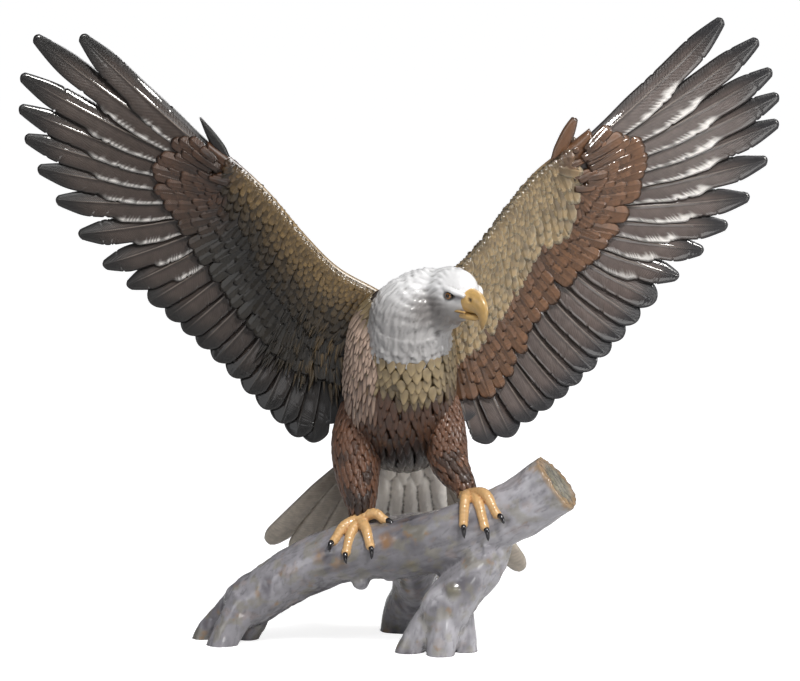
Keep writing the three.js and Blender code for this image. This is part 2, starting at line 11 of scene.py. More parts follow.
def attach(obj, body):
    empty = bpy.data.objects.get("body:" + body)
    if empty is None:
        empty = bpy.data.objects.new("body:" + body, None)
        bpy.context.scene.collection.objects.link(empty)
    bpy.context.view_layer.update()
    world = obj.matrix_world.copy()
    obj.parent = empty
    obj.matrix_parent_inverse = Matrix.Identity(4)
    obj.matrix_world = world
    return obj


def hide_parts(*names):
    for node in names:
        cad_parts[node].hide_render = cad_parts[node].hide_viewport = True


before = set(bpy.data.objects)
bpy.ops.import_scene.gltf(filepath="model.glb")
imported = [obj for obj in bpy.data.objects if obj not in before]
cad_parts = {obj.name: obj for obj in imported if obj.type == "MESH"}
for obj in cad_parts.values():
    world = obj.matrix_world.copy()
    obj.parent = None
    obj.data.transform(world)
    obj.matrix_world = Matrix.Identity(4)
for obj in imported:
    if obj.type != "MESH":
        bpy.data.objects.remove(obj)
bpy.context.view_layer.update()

# Shapes are drawn in millimetres around this point, the middle of the figure's footprint box
MM = 0.001
DRAWN_MIDDLE = np.array([-0.953, 64.892, 0.0])
NODE = "eagle_on_log"
BODY_NAME = "root"

# Flight feathers, counted from the leading edge to the body
FLIGHT_FEATHERS = 23
LAST_FEATHER = 22
PRIMARIES_END = 9
FLIGHT_WIDTH = 28
LEADING_VANE = 0.38
FLIGHT_THICKNESS = 2.2
FLIGHT_RIM_HALF = 0.3
FLIGHT_TILT = 3.4
FLIGHT_CAMBER = 1.1
FLIGHT_SAG = 0.02
FLIGHT_ROWS = 90
# Share of the covert length by which a feather's root lies under the coverts
ROOT_UNDER = 0.45
# A primary's inner vane is narrower beyond this span, by this share
NOTCH_SPAN = (0.44, 0.52)
NOTCH_SHARE = 0.2
# Slits in the vanes: how many, where along the feather, and half a slit's width as a share of the length
SLITS = 3
SLIT_SPAN = (0.3, 0.9)
SLIT_HALF = 0.012
RACHIS_HEIGHT = 0.9
BARB_HEIGHT = 0.34
BARB_LEAN = 1.0
BARB_PITCH = 1.9
# How far the rows of a vane lean toward the tip: at most in millimetres, and as a share of the length
ROW_LEAN = 12
ROW_LEAN_SHARE = 0.09
# Where along a feather the pale fringe of the primaries ends, and where the dark tip starts and is full
FRINGE_END = {-1: 0.5, 1: 0.56}
TIP_SPAN = (0.7, 0.95)
# Outline and width of the thumb feather of each wing
THUMB_SHAPE = {-1: ((0.2, 0.18, 1.6, 0.1), 12), 1: ((0.5, 0.5, 2.0, 0.1), 13)}
THUMB_THICKNESS = 4.5

# Arm of a wing
COVERT_LENGTH = 44
ARM_THICKNESS = 19
COVERT_THICKNESS = 10
ARM_LEAST_HALF = 4.4
LEADING_ROUND = 10
LEADING_BARE = 8
LEADING_INSET = 2
WING_CAMBER = 12
WING_SWEEP = 14
WING_DEPTH = [[0, 52], [60, 58], [120, 76], [180, 90], [250, 97], [350, 99]]

# Rows of long coverts, from the trailing side forward: width, length and distance in front of the first row
LARGE_ROWS = [
    (13.5, 42, 0), (12.5, 34, 14), (11.5, 28, 27), (10.5, 24, 39),
    (9.5, 21, 50), (9, 19, 60), (9, 18, 70), (9, 17, 80),
]
# Small scales: widths of the first and the finest rows, and how far forward the last row lies
SMALL_WIDEST = 11
SMALL_NARROWEST = 6.6
SMALL_LAST_ROW = 92
BACK_COARSER = 1.5
ROW_OVERLAP = 0.78
# Small scales start at this feather number on the front, where the wrist has only long coverts
WRIST_END = 3.6
WRIST_BARE = 2.5
# Feather numbers over which a wrist's brown turns to the arm's own tone
WRIST_FADE = (6.5, 9.5)
INNER_TUFTS = 210

# Keys of a wing seen from the front: feather number, distance out, height; and how far its coverts reach
LEFT_WING = {
    "side": -1,
    "lead": [[0, 178, 461], [6, 152, 443], [10, 121, 415], [14, 87, 376], [18, 57, 347], [22, 23, 328],
             [25, -6, 312]],
    "quill": [[0, 177, 450], [4, 175, 418], [8, 157, 389], [12, 124, 355], [16, 96, 310], [20, 75, 280],
              [25, 30, 262]],
    "tip": [[0, 294, 557], [1, 337, 556], [2, 350, 520], [4, 347, 463], [6, 319, 405], [8, 276, 344],
            [10, 233, 310], [14, 172, 256], [18, 111, 199], [20, 81, 182], [21, 64, 200], [22, 50, 209],
            [25, 20, 200]],
    "thumb": [[159, 442], [184, 482]],
    "large_reach": [[0, 30], [0.5, 40], [2, 68], [3.5, 88], [5, 96], [7, 94], [10, 98], [14, 104], [18, 108],
                    [22, 104], [25, 90]],
    "small_reach": [[0, 12], [3, 18], [5, 22], [6, 30], [7.5, 42], [9, 46], [11, 50], [13.5, 60], [18, 66],
                    [22, 62], [25, 60]],
}
RIGHT_WING = {
    "side": 1,
    "lead": [[0, 174, 472], [6, 147, 451], [10, 122, 431], [14, 95, 398], [18, 68, 363], [22, 32, 332],
             [25, 6, 312]],
    "quill": [[0, 180, 461], [4, 183, 419], [8, 159, 380], [12, 124, 353], [16, 91, 303], [20, 57, 270],
              [25, 20, 258]],
    "tip": [[0, 297, 572], [1, 330, 553], [2, 343, 525], [4, 350, 477], [6, 324, 408], [8, 282, 358],
            [10, 238, 311], [14, 180, 248], [18, 123, 201], [20, 83, 181], [21, 62, 203], [22, 48, 214],
            [25, 20, 205]],
    "thumb": [[142, 441], [161, 482]],
    "large_reach": [[0, 30], [0.5, 40], [1.25, 58], [2, 76], [3.25, 90], [4.5, 96], [6, 102], [8, 108],
                    [12, 108], [15, 114], [17, 126], [19, 134], [20.5, 122], [22, 112], [25, 90]],
    "small_reach": [[0, 12], [3, 20], [4.5, 26], [6, 38], [7, 52], [8.5, 70], [12, 65], [14, 75], [16, 82],
                    [18.5, 86], [22, 84], [25, 80]],
}

# Keys of rounded forms: share of the length, x, y, z, half width, half depth
BODY = [
    [0, 6, 22, 318, 30, 30],
    [0.15, 2, 30, 296, 43, 41],
    [0.35, 1, 37, 265, 48, 48],
    [0.55, 0, 49, 230, 49, 50],
    [0.72, 2, 64, 204, 45, 44],
    [0.86, 4, 84, 184, 38, 33],
    [0.95, 5, 100, 171, 28, 22],
    [1, 6, 110, 164, 15, 11],
]

# Breast: the form under the white collar that carries the large pointed scales
BREAST = [
    [0, 8, 12, 281, 36, 37.5],
    [0.4, 8, 19, 260, 34, 38],
    [0.75, 7, 26, 243, 32, 36],
    [1, 6, 36, 228, 26, 30],
]
# Lowest point of the tan breast, and how fast its edge rises to both sides
BREAST_POINT = (12.6, 222)
BREAST_SLOPE = 0.5

NECK = [
    [0, 36, -14, 336, 13, 13],
    [0.14, 28, -9, 332, 21.5, 21.5],
    [0.35, 12, -2, 314, 32.5, 32.5],
    [0.6, 9, 5, 301, 36.5, 37.5],
    [0.82, 8, 12, 281, 36.5, 38],
    [1, 8, 19, 260, 33, 37],
]
# Share of the neck at which the white collar ends
COLLAR_SHARE = 0.84
LEFT_THIGH = [
    [0, -33, 60, 222, 19, 24],
    [0.3, -39, 52, 188, 22, 27],
    [0.6, -39, 42, 158, 19, 21],
    [0.88, -36, 33, 130, 12, 13],
    [1, -37, 29, 119, 7.5, 8],
]
RIGHT_THIGH = [
    [0, 32, 54, 226, 20, 25],
    [0.32, 40, 42, 194, 19, 25],
    [0.62, 46, 32, 168, 15.5, 20],
    [0.86, 57, 20, 152, 10, 11],
    [1, 61, 14, 143, 7.5, 8],
]

# Keys of the log and its feet
TRUNK = [
    [0, -153, 54, 25, 16, 18],
    [0.14, -139, 52, 35, 23, 24],
    [0.3, -92, 44, 67, 25, 25],
    [0.45, -46, 34, 87, 27, 27],
    [0.58, 0, 22, 95, 28, 28],
    [0.7, 41, 11, 104, 28, 28],
    [0.82, 82, 3, 120, 27, 27],
    [0.92, 117, -4, 138, 27, 27],
    [1, 143, -11, 158, 29, 28],
]
FRONT_BRANCH = [
    [0, 84, 6, 112, 20, 20],
    [0.25, 71, 0, 80, 23, 22],
    [0.5, 54, -3, 56, 23, 21],
    [0.78, 41, -2, 37, 22, 21],
    [1, 38, 0, 24, 17, 16],
]
REAR_STUMP = [
    [0, 16, 32, 84, 20, 20],
    [0.4, 13, 72, 48, 20, 20],
    [0.7, 8, 99, 22, 21, 20],
    [1, 5, 114, -14, 26, 23],
]
PRONGS = [
    [[-148, 62, 38, 14], [-181, 70, 3, 10]],
    [[-140, 45, 40, 18], [-163, 38, 3, 13]],
    [[-128, 58, 36, 15], [-141, 68, 3, 11]],
    [[43, 4, 50, 17], [10, 4, 3, 13]],
    [[45, -4, 46, 18], [37, -10, 3, 13.5]],
    [[50, 4, 46, 16], [59, 8, 3, 12]],
]
FLOOR_CUT = 12
KNOBS = [[-36, 26, 61], [-10, 22, 70], [48, -18, 62]]
KNOB_RADIUS = 9
LOG_FLUTE = 0.07
# Middle of the broken end, and the way it faces
LOG_END = np.array(TRUNK[-1][1:4], float)
LOG_END_WAY = LOG_END - np.array(TRUNK[-2][1:4], float)
# Way the bark runs along the lying trunk, how long its streaks are and their width
TRUNK_GRAIN = (0.9, -0.2, 0.42)
STREAK_STRETCH = 5
STREAK_SIZE = 8

# Tail fan: middle of its root and of its end, half widths, and how far the right side hangs lower
TAIL_FEATHERS = 11
TAIL_ROOT = np.array([3.0, 93.0, 158.0])
TAIL_ROOT_SPREAD = 48
TAIL_ROOT_FALL = 6
TAIL_END = np.array([-5.0, 172.0, 62.0])
TAIL_SPREAD = 132
TAIL_FALL = 14.5
TAIL_REACH = 22
TAIL_DROP = 24
TAIL_SLOPE = 0.72
TAIL_TURN = 0.08
TAIL_WIDTH = 27

# Rump: its middle and half sizes, and the white scales over its back
RUMP_CENTRE = (3, 104, 158)
RUMP_HALF = (48, 14, 30)
RUMP_ROWS = 6
RUMP_COLUMNS = 8
RUMP_SCALE_LENGTH = 22
RUMP_SCALE_LIFT = 2.6
# Shares of the half sizes: where the first row starts, how far the rows spread and the columns reach
RUMP_FIRST = -0.95
RUMP_SPREAD = 1.75
RUMP_REACH = 0.92

# Soft lobes under the tail in two tiers: depth and height of each lobe's root, bulge and end, and its radii
VENT_LOBES = 5
VENT_MIDDLE = 10
VENT_SPACING = 12.2
VENT_SPLAY = 0.12
VENT_PATH = [[84, 166], [81, 140], [97, 112]]
VENT_DROP = 4
VENT_LOBE_RADIUS = [6.4, 8.4, 7.0]
VENT_UPPER_PATH = [[82, 172], [77, 158], [78, 147]]
VENT_UPPER_RADIUS = [5.4, 7.4, 6.6]
# Cushion between the lobes and the tail
VENT_FILLER = (9, 102, 132)
VENT_FILLER_HALF = (28, 9, 28)

# Head: places are given forward, toward the viewer and up from the middle of the cranium
HEAD_YAW = math.radians(37)
HEAD_CENTRE = np.array([46.0, -22.0, 328.0])
CRANIUM = (28, 22, 26)
# Soft masses of the head: place and half sizes
HEAD_MASSES = [
    [(-9, 0, 0), (28, 22, 24)],
    [(10, 0, 5), (21, 16.5, 19.5)],
    [(4, 0, -9), (21, 18.5, 16)],
    [(19.5, 0, -3.5), (13, 11.8, 13.5)],
    [(-12, 0, -14), (20, 20, 20)],
]
BROW = [(2, 15, 9), (18, 16, 6.2), (31, 9, 1.6)]
BROW_RADIUS = [2.6, 3.4, 2.2]
GAPE = [(11, 11.9, -11.4), (19, 10.8, -12), (30, 8.0, -13.5)]
GAPE_RADIUS = [0.4, 1.1, 1.5]
EYE_SPOT = (16.6, 15.2, 1.8)
EYE_RADIUS = 4.0
EYE_GAZE_AHEAD = 0.42
EYE_GAZE_UP = 0.02
SOCKET_DEPTH = 2.4
SOCKET_WIDTH = 5.2
# Painted shadows on the white head, under jaw and cheek: place, where each starts to fade and ends, and
# strength
HEAD_PAINTED_SHADOWS = [((12, 10, -20), 8, 26, 0.8), ((-2, 24, -13), 8, 24, 0.95)]
COMB_HEIGHT = 0.7

# Keys of the beak: share of its length, ahead, up, half width, half height, lean
UPPER_BEAK = [
    [0, 12, -2, 12, 13, 0],
    [0.18, 20, -2, 11, 12, 0],
    [0.42, 32, -3, 8.5, 11, 0],
    [0.64, 41, -6, 6, 9, 0.3],
    [0.8, 46, -13, 4, 5.5, 0.9],
    [0.92, 46, -21, 2.2, 3, 1.5],
    [1, 44.5, -27, 0.6, 0.8, 1.5],
]
LOWER_BEAK = [
    [0, 10, -14, 9, 5, 0],
    [0.5, 24, -15.5, 7, 4.5, 0],
    [0.85, 36, -17, 4, 3, 0],
    [1, 40, -17.5, 1.5, 1.2, 0],
]
# Nostril: ahead and up, its half sizes, and how deep it is
NOSTRIL = (35.5, -1.2)
NOSTRIL_HALF = (2.8, 1.5)
NOSTRIL_DEPTH = 1.2
MOUTH_DOWN = 12.8

# Feet: the hub, how far a knuckle arches over the log, and each toe's end with the point of its claw
LEFT_FOOT = {
    "hub": [-37, 28, 118],
    "arch": [0, 0, 6],
    "toes": [[[-60, 13, 100], [-63, 4, 92]], [[-49, 4, 91], [-48, -2, 82]], [[-27, -2, 98], [-26, -7, 87]],
             [[-14, 15, 119], [-7, 7, 115]], [[-38, 53, 110], [-39, 61, 100]]],
}
RIGHT_FOOT = {
    "hub": [61, 14, 143],
    "arch": [0, -4, 12],
    "toes": [[[57, -21, 121], [58, -26, 109]], [[76, -25, 119], [79, -29, 107]],
             [[87, -24, 130], [93, -31, 123]], [[58, 38, 138], [57, 47, 128]]],
}
TOE_RADIUS = 4.4
CLAW_RADIUS = 2.9
HUB_RADIUS = 9
LEG_RADII = [7, 7, 7.6]
# Scutes across a toe: their height and spacing
SCUTE_HEIGHT = 0.26
SCUTE_SPACING = 3.4

# Voxels of the fused pieces
HEAD_FORM_VOXEL = 1.2
HEAD_VOXEL = 1.0
VENT_VOXEL = 1.0
FEET_VOXEL = 0.9
LOG_VOXEL = 1.75

ACROSS = np.array([1.0, 0.0, 0.0])
UPWARD = np.array([0.0, 0.0, 1.0])


def rgb(text):
    """Linear colour of a painted tone"""
    channels = np.array([int(text[i:i + 2], 16) for i in (1, 3, 5)]) / 255
    return np.where(channels <= 0.04045, channels / 12.92, ((channels + 0.055) / 1.055) ** 2.4)


# Painted tones; the left wing's tones (key -1) are darker, partly its own paint and partly painted shade
FLIGHT_TONE = {-1: rgb("#433832"), 1: rgb("#5c504b")}
FLIGHT_EDGE = {-1: rgb("#14100e"), 1: rgb("#2a2524")}
FLIGHT_TIP = {-1: rgb("#0b0a0a"), 1: rgb("#1e1f23")}
FRINGE = rgb("#efebe6")
RACHIS_TONE = rgb("#93867c")
LARGE_TONE = {-1: rgb("#4c3322"), 1: rgb("#6b4a31")}
LARGE_EDGE = {-1: rgb("#0f0a07"), 1: rgb("#2c1d13")}
INNER_TONE = {-1: rgb("#1c160b"), 1: rgb("#634329")}
SMALL_TONE = {-1: rgb("#8f7448"), 1: rgb("#9c8560")}
SMALL_EDGE = {-1: rgb("#2e2315"), 1: rgb("#e2d7bd")}
VENT_TONE = rgb("#fff8ee")
# Grey of the painted shade in the vent's grooves and low on its lobes
VENT_PAINTED_SHADE = rgb("#6f655a")
# Grey of the painted shadow in front of the eye
LORES_PAINTED_SHADOW = rgb("#77757c")
EYE_RIM = rgb("#3e3a3d")
BODY_TONE = rgb("#5a3b28")
BODY_DARK = rgb("#2a1c15")
BREAST_TONE = rgb("#a38f6b")
FLANK_TONE = rgb("#b49c8b")
THIGH_TONE = rgb("#6f4a33")
THIGH_DARK = rgb("#2f1f17")
WHITE = rgb("#f3f3f4")
# Grey of the painted shade on the white head and neck
WHITE_PAINTED_SHADE = rgb("#85817f")
TAIL_TONE = rgb("#cfc3b3")
TAIL_SHADE = rgb("#83786c")
BEAK_TONE = rgb("#c09c60")
BEAK_DARK = rgb("#6b4d26")
FOOT_TONE = rgb("#dcb17a")
# Tone of the painted shade in the grooves of the feet
FOOT_PAINTED_SHADE = rgb("#b87a40")
CLAW_TONE = rgb("#17151a")
IRIS = rgb("#8c5c28")
PUPIL = rgb("#0b0807")
LOG_TONE = rgb("#b7b5bb")
LOG_DARK = rgb("#625f66")
MOSS = rgb("#8d876a")
RUST = rgb("#a8793f")

# Painted spots on the log: where, and their tone
LOG_SPOTS = [
    [(-14, -6, 104), RUST],
    [(10, -5, 78), MOSS],
    [(-72, 20, 84), RUST],
    [(47, -26, 60), MOSS],
    [(152, -30, 176), RUST],
]


def smooth(value, low, high):
    share = np.clip((value - low) / (high - low), 0, 1)
    return share * share * (3 - 2 * share)


def blend(first, second, share):
    share = np.asarray(share, float)[..., None]
    return first * (1 - share) + second * share


def layered(colour, *layers):
    """A colour with further tones laid over it, each with its share at every point"""
    for tone, share in layers:
        colour = blend(colour, tone, share)
    return colour


def unit(vectors):
    return vectors / np.linalg.norm(vectors, axis=-1, keepdims=True)


def turns(count):
    """Even angles once round"""
    return np.linspace(0, 2 * np.pi, count, endpoint=False)


def keyed(keys):
    """A smooth curve through keys whose first value is the parameter, level beyond its ends"""
    keys = np.array(keys, float)
    at = keys[:, 0]
    values = keys[:, 1:]

    def curve(parameter):
        parameter = np.clip(np.asarray(parameter, float), at[0], at[-1])
        right = np.clip(np.searchsorted(at, parameter, side="right"), 1, len(at) - 1)
        left = right - 1
        before = np.where(left > 0, left - 1, right)
        after = np.where(right < len(at) - 1, right + 1, left)
        half = (at[right] - at[left]) / 2
        lead_in = half / (at[left] - at[before])
        lead_out = half / (at[after] - at[right])
        p = (parameter - at[left]) / (at[right] - at[left])
        pp = p * p
        ppp = pp * p
        weights = [
            -lead_in * ppp + 2 * lead_in * pp - lead_in * p,
            (1 + lead_in) * ppp + (-1.5 - 2 * lead_in) * pp + (-0.5 + lead_in) * p + 1,
            (-1 - lead_out) * ppp + (1.5 + lead_out) * pp + 0.5 * p,
            lead_out * ppp - lead_out * pp,
        ]
        keys_near = (before, left, right, after)
        return sum(weight[..., None] * values[key] for weight, key in zip(weights, keys_near))

    return curve


@functools.lru_cache(maxsize=None)
def pillow_layout(rows, columns):
    """Row, column, face and quads of two sheets that share their rim"""
    front = np.arange((rows + 1) * (columns + 1)).reshape(rows + 1, columns + 1)
    inner = np.arange((rows - 1) * (columns - 1)).reshape(rows - 1, columns - 1)
    back = front.copy()
    back[1:-1, 1:-1] = front.size + inner
    row, column = np.divmod(np.arange(front.size), columns + 1)
    back_row, back_column = np.divmod(np.arange(inner.size), columns - 1)
    rim = (row == 0) | (row == rows) | (column == 0) | (column == columns)
    face = np.concatenate([np.where(rim, 0, 1), np.full(inner.size, -1)])
    row = np.concatenate([row, back_row + 1])
    column = np.concatenate([column, back_column + 1])

    def quads(sheet):
        return np.stack([sheet[:-1, :-1], sheet[:-1, 1:], sheet[1:, 1:], sheet[1:, :-1]], -1).reshape(-1, 4)

    return row, column, face, np.concatenate([quads(front), quads(back)[:, ::-1]])


class Shell:
    """Gathers closed forms, in drawing millimetres, with the paint and feather grain of each point"""

    def __init__(self):
        self.points = []
        self.faces = []
        self.paint = []
        self.grain = []
        self.count = 0

    def add(self, points, quads, paint=WHITE, grain=(0, 0, 0)):
        a, b, c, d = (points[quads[:, corner]] for corner in range(4))
        volume = np.sum(a * (np.cross(b, c) + np.cross(c, d)))
        if volume < 0:
            quads = quads[:, ::-1]
        self.points.append(points)
        self.faces.append(quads + self.count)
        self.paint.append(np.broadcast_to(paint, (len(points), 3)))
        self.grain.append(np.broadcast_to(grain, (len(points), 3)))
        self.count += len(points)

    def object(self, name):
        mesh = bpy.data.meshes.new(name)
        points = (np.concatenate(self.points) - DRAWN_MIDDLE) * MM
        mesh.from_pydata(points.tolist(), [], [clean(face) for face in np.concatenate(self.faces).tolist()])
        mesh.update()
        write_attributes(mesh, np.concatenate(self.paint), np.concatenate(self.grain))
        mesh.polygons.foreach_set("use_smooth", np.ones(len(mesh.polygons), bool))
        obj = bpy.data.objects.new(name, mesh)
        bpy.context.scene.collection.objects.link(obj)
        return obj


def clean(face):
    """A quad with a doubled corner is a triangle"""
    return [corner for k, corner in enumerate(face) if corner != face[k - 1]]


def write_attributes(mesh, paint, grain=None):
    """Writes the paint, and the grain where there is one, over what the mesh had"""
    colour = mesh.attributes.get("paint") or mesh.attributes.new("paint", "FLOAT_COLOR", "POINT")
    colour.data.foreach_set("color", np.column_stack([paint, np.ones(len(paint))]).astype(np.float32).ravel())
    if grain is not None:
        strand = mesh.attributes.new("grain", "FLOAT_VECTOR", "POINT")
        strand.data.foreach_set("vector", np.ascontiguousarray(grain, np.float32).ravel())


def loft(shell, rings, paint=WHITE):
    """A skin over rings of equal count, closed with a fan at both ends"""
    count, sides = rings.shape[:2]
    index = np.arange(count * sides).reshape(count, sides)
    turned = np.roll(index, -1, axis=1)
    quads = [np.stack([index[:-1], turned[:-1], turned[1:], index[1:]], -1).reshape(-1, 4)]
    points = [rings.reshape(-1, 3)]
    for ring, order in ((0, -1), (count - 1, 1)):
        centre = np.full(sides, count * sides + len(points) - 1)
        points.append(rings[ring].mean(axis=0)[None])
        fan = np.stack([centre, centre, index[ring], turned[ring]], -1)
        quads.append(fan[:, ::order])
    shell.add(np.concatenate(points), np.concatenate(quads), paint)


def cross_axes(curve, at, step, reference=None):
    """Two unit vectors across a curve at shares of its length, the first near the reference"""
    along = unit(curve(np.minimum(at + step, 1))[..., :3] - curve(np.maximum(at - step, 0))[..., :3])
    if reference is None:
        reference = ACROSS if abs(along[:, 0]).mean() < 0.75 else UPWARD
    first = unit(reference - along * (along @ reference)[..., None])
    return first, np.cross(along, first)


def spine(keys, reference):
    """The skin of a rounded form: point at a share of its length, an angle round it and a height off it"""
    curve = keyed(keys)

    def skin(at, angle, lift):
        at, angle, lift = np.broadcast_arrays(np.clip(at, 0, 1), angle, lift)
        values = curve(at)
        first, second = cross_axes(curve, at, 0.01, reference)
        across = (np.cos(angle) * (values[..., 3] + lift))[..., None]
        deep = (np.sin(angle) * (values[..., 4] + lift))[..., None]
        return values[..., :3] + first * across + second * deep

    return skin


def bar_rings(stops, radii, sides, rings, ripple=0, ripples=0):
    """Rings of a tapered bar through points, with a radius at each, and ripples along it"""
    stops = np.array(stops, float)
    at = np.linspace(0, 1, len(stops))
    curve = keyed(np.column_stack([at, stops, radii]))
    share = np.linspace(0, 1, rings)
    values = curve(share)
    first, second = cross_axes(curve, share, 0.02)
    angle = turns(sides)
    radius = np.maximum(values[:, 3], 0.2) + ripple * np.cos(2 * np.pi * ripples * share)
    ring = first[:, None] * np.cos(angle)[None, :, None] + second[:, None] * np.sin(angle)[None, :, None]
    return values[:, None, :3] + ring * radius[:, None, None]


def egg_rings(centre, radii, yaw=0, pitch=0, detail=16):
    """Rings of an egg that is turned about the vertical, after a pitch about its own first axis"""
    latitude = np.linspace(-np.pi / 2, np.pi / 2, detail + 2)[1:-1]
    angle = turns(2 * detail)
    wide = np.cos(latitude)[:, None]
    x = wide * np.cos(angle) * radii[0]
    y = wide * np.sin(angle) * radii[1]
    z = np.sin(latitude)[:, None] * radii[2] + 0 * x
    y, z = y * math.cos(pitch) - z * math.sin(pitch), y * math.sin(pitch) + z * math.cos(pitch)
    x, y = x * math.cos(yaw) - y * math.sin(yaw), x * math.sin(yaw) + y * math.cos(yaw)
    return np.stack([x, y, z], -1) + np.asarray(centre, float)


def fused(name, shell, voxel, smoothing):
    """One soft skin over all forms of a shell"""
    obj = shell.object(name)
    remesh = obj.modifiers.new("fuse", "REMESH")
    remesh.mode = "VOXEL"
    remesh.voxel_size = voxel * MM
    remesh.use_smooth_shade = True
    soften = obj.modifiers.new("soften", "SMOOTH")
    soften.iterations = smoothing
    soften.factor = 0.5
    evaluated = obj.evaluated_get(bpy.context.evaluated_depsgraph_get())
    mesh = bpy.data.meshes.new_from_object(evaluated)
    obj.modifiers.clear()
    obj.data = mesh
    return obj


def read_points(mesh):
    """Points of a mesh in drawing millimetres, and their normals"""
    points = np.empty(3 * len(mesh.vertices), np.float32)
    normals = np.empty(3 * len(mesh.vertices), np.float32)
    mesh.vertices.foreach_get("co", points)
    mesh.vertices.foreach_get("normal", normals)
    return points.reshape(-1, 3).astype(float) / MM + DRAWN_MIDDLE, normals.reshape(-1, 3).astype(float)


def write_points(mesh, points):
    mesh.vertices.foreach_set("co", ((points - DRAWN_MIDDLE) * MM).astype(np.float32).ravel())
    mesh.update()


def read_grooves(mesh):
    """Points, normals, and how deep each point lies in a groove as a share of 1; below zero on a ridge"""
    points, normals = read_points(mesh)
    edges = np.empty(2 * len(mesh.edges), np.int32)
    mesh.edges.foreach_get("vertices", edges)
    a, b = edges.reshape(-1, 2).T
    lean = np.zeros(len(points))
    count = np.zeros(len(points))
    span = points[b] - points[a]
    size = np.linalg.norm(span, axis=1) + 1e-9
    np.add.at(lean, a, np.sum(span * normals[a], axis=1) / size)
    np.add.at(lean, b, -np.sum(span * normals[b], axis=1) / size)
    np.add.at(count, a, 1)
    np.add.at(count, b, 1)
    lean /= np.maximum(count, 1)
    for _ in range(2):
        total = lean.copy()
        np.add.at(total, a, lean[b])
        np.add.at(total, b, lean[a])
        lean = total / (count + 1)
    return points, normals, lean


def cloud(points, size, seed, octaves=3):
    """Soft noise from -1 to 1 at each point"""
    offset = Vector((seed * 17.3, seed * 5.1, seed * 9.7))
    return np.array([noise.fractal(Vector(point) / size + offset, 1.0, 2.0, octaves) for point in points])


# Columns of a feather, from its leading to its trailing edge, with the shaft at 0
BESIDE_SHAFT = 0.07
FLIGHT_COLUMNS = np.array([-1, -0.84, -0.52, -0.22, -BESIDE_SHAFT, 0, BESIDE_SHAFT, 0.26, 0.46, 0.62, 0.76,
                           0.89, 1])
LARGE_COLUMNS = np.array([-1, -0.8, -0.48, -0.12, 0, 0.12, 0.48, 0.8, 1])
SMALL_COLUMNS = np.array([-1, -0.62, 0, 0.62, 1])
# Front coverts wider than this have modelled barbs
BARBED_WIDTH = 10

# Feather outlines: share of the length where the end begins, width left at the end, how late it narrows,
# and how far the end's corners fall back as a share of the width
POINTED = (0.62, 0.4, 2.6, 0.09)
ROUNDED = (0.85, 0.55, 2.4, 0.1)
SCALLOP = (0.4, 0.6, 2.4, 0.2)
LEAF = (0.3, 0.24, 1.7, 0.12)
LANCE = (0.2, 0.12, 1.3, 0.1)


def width_share(outline, run):
    first, left, power, _ = outline
    end = np.clip((run - first) / (1 - first), 0, 1)
    return (0.74 + 0.26 * smooth(run, 0, 0.3)) * (1 - (1 - left) * end ** power)


def corner_fall(outline, run, edge, width, length):
    """How far a point falls back toward the root, so that the end is rounded"""
    return min(outline[3] * width, 0.22 * length) * edge ** 2 * smooth(run, 0.5, 1)


def wing_of(keys):
    """A wing's keys as curves over the feather number"""
    curved = {name: keyed(keys[name]) for name in ("lead", "quill", "tip", "large_reach", "small_reach")}
    return {**curved, "side": keys["side"], "thumb": np.array(keys["thumb"], float)}


WING_BACK = keyed(WING_DEPTH)


def lay(wing, spot, number, chord, toward):
    """Point of the wing in the front view, pushed back by camber and sweep"""
    out, high = spot[..., 0], spot[..., 1]
    back = WING_BACK(np.abs(out))[..., 0]
    camber = WING_CAMBER * np.sin(np.pi * np.minimum(chord, 1))
    sweep = WING_SWEEP * chord * (1 + number / LAST_FEATHER) / 2
    return np.stack([wing["side"] * out, back + camber + sweep - toward, high], -1)


def route(wing, number, distance):
    """Front-view spot at a distance along the line from leading edge to quill to tip, and its chord share"""
    lead, quill, tip = wing["lead"](number), wing["quill"](number), wing["tip"](number)
    arm = np.linalg.norm(quill - lead, axis=-1)
    near = lead + unit(quill - lead) * np.asarray(distance)[..., None]
    far = quill + unit(tip - quill) * (distance - arm)[..., None]
    share = smooth(distance, arm - 8, arm + 8)[..., None]
    return near * (1 - share) + far * share, distance / (arm + np.linalg.norm(tip - lead, axis=-1))


def arm_half(wing, number, distance):
    """Half thickness of the arm under its coverts"""
    arm = np.linalg.norm(wing["quill"](number) - wing["lead"](number), axis=-1)
    share = np.clip(distance / (arm + COVERT_LENGTH), 0, 1)
    full = ARM_THICKNESS * (1 - share) ** 1.4 + COVERT_THICKNESS
    wrist = 0.62 + 0.38 * np.minimum(number / LAST_FEATHER, 1)
    rounding = 1 - np.clip(distance / LEADING_ROUND, 0, 1)
    return np.maximum(full * wrist / 2, ARM_LEAST_HALF) * np.sqrt(1 - rounding ** 2)


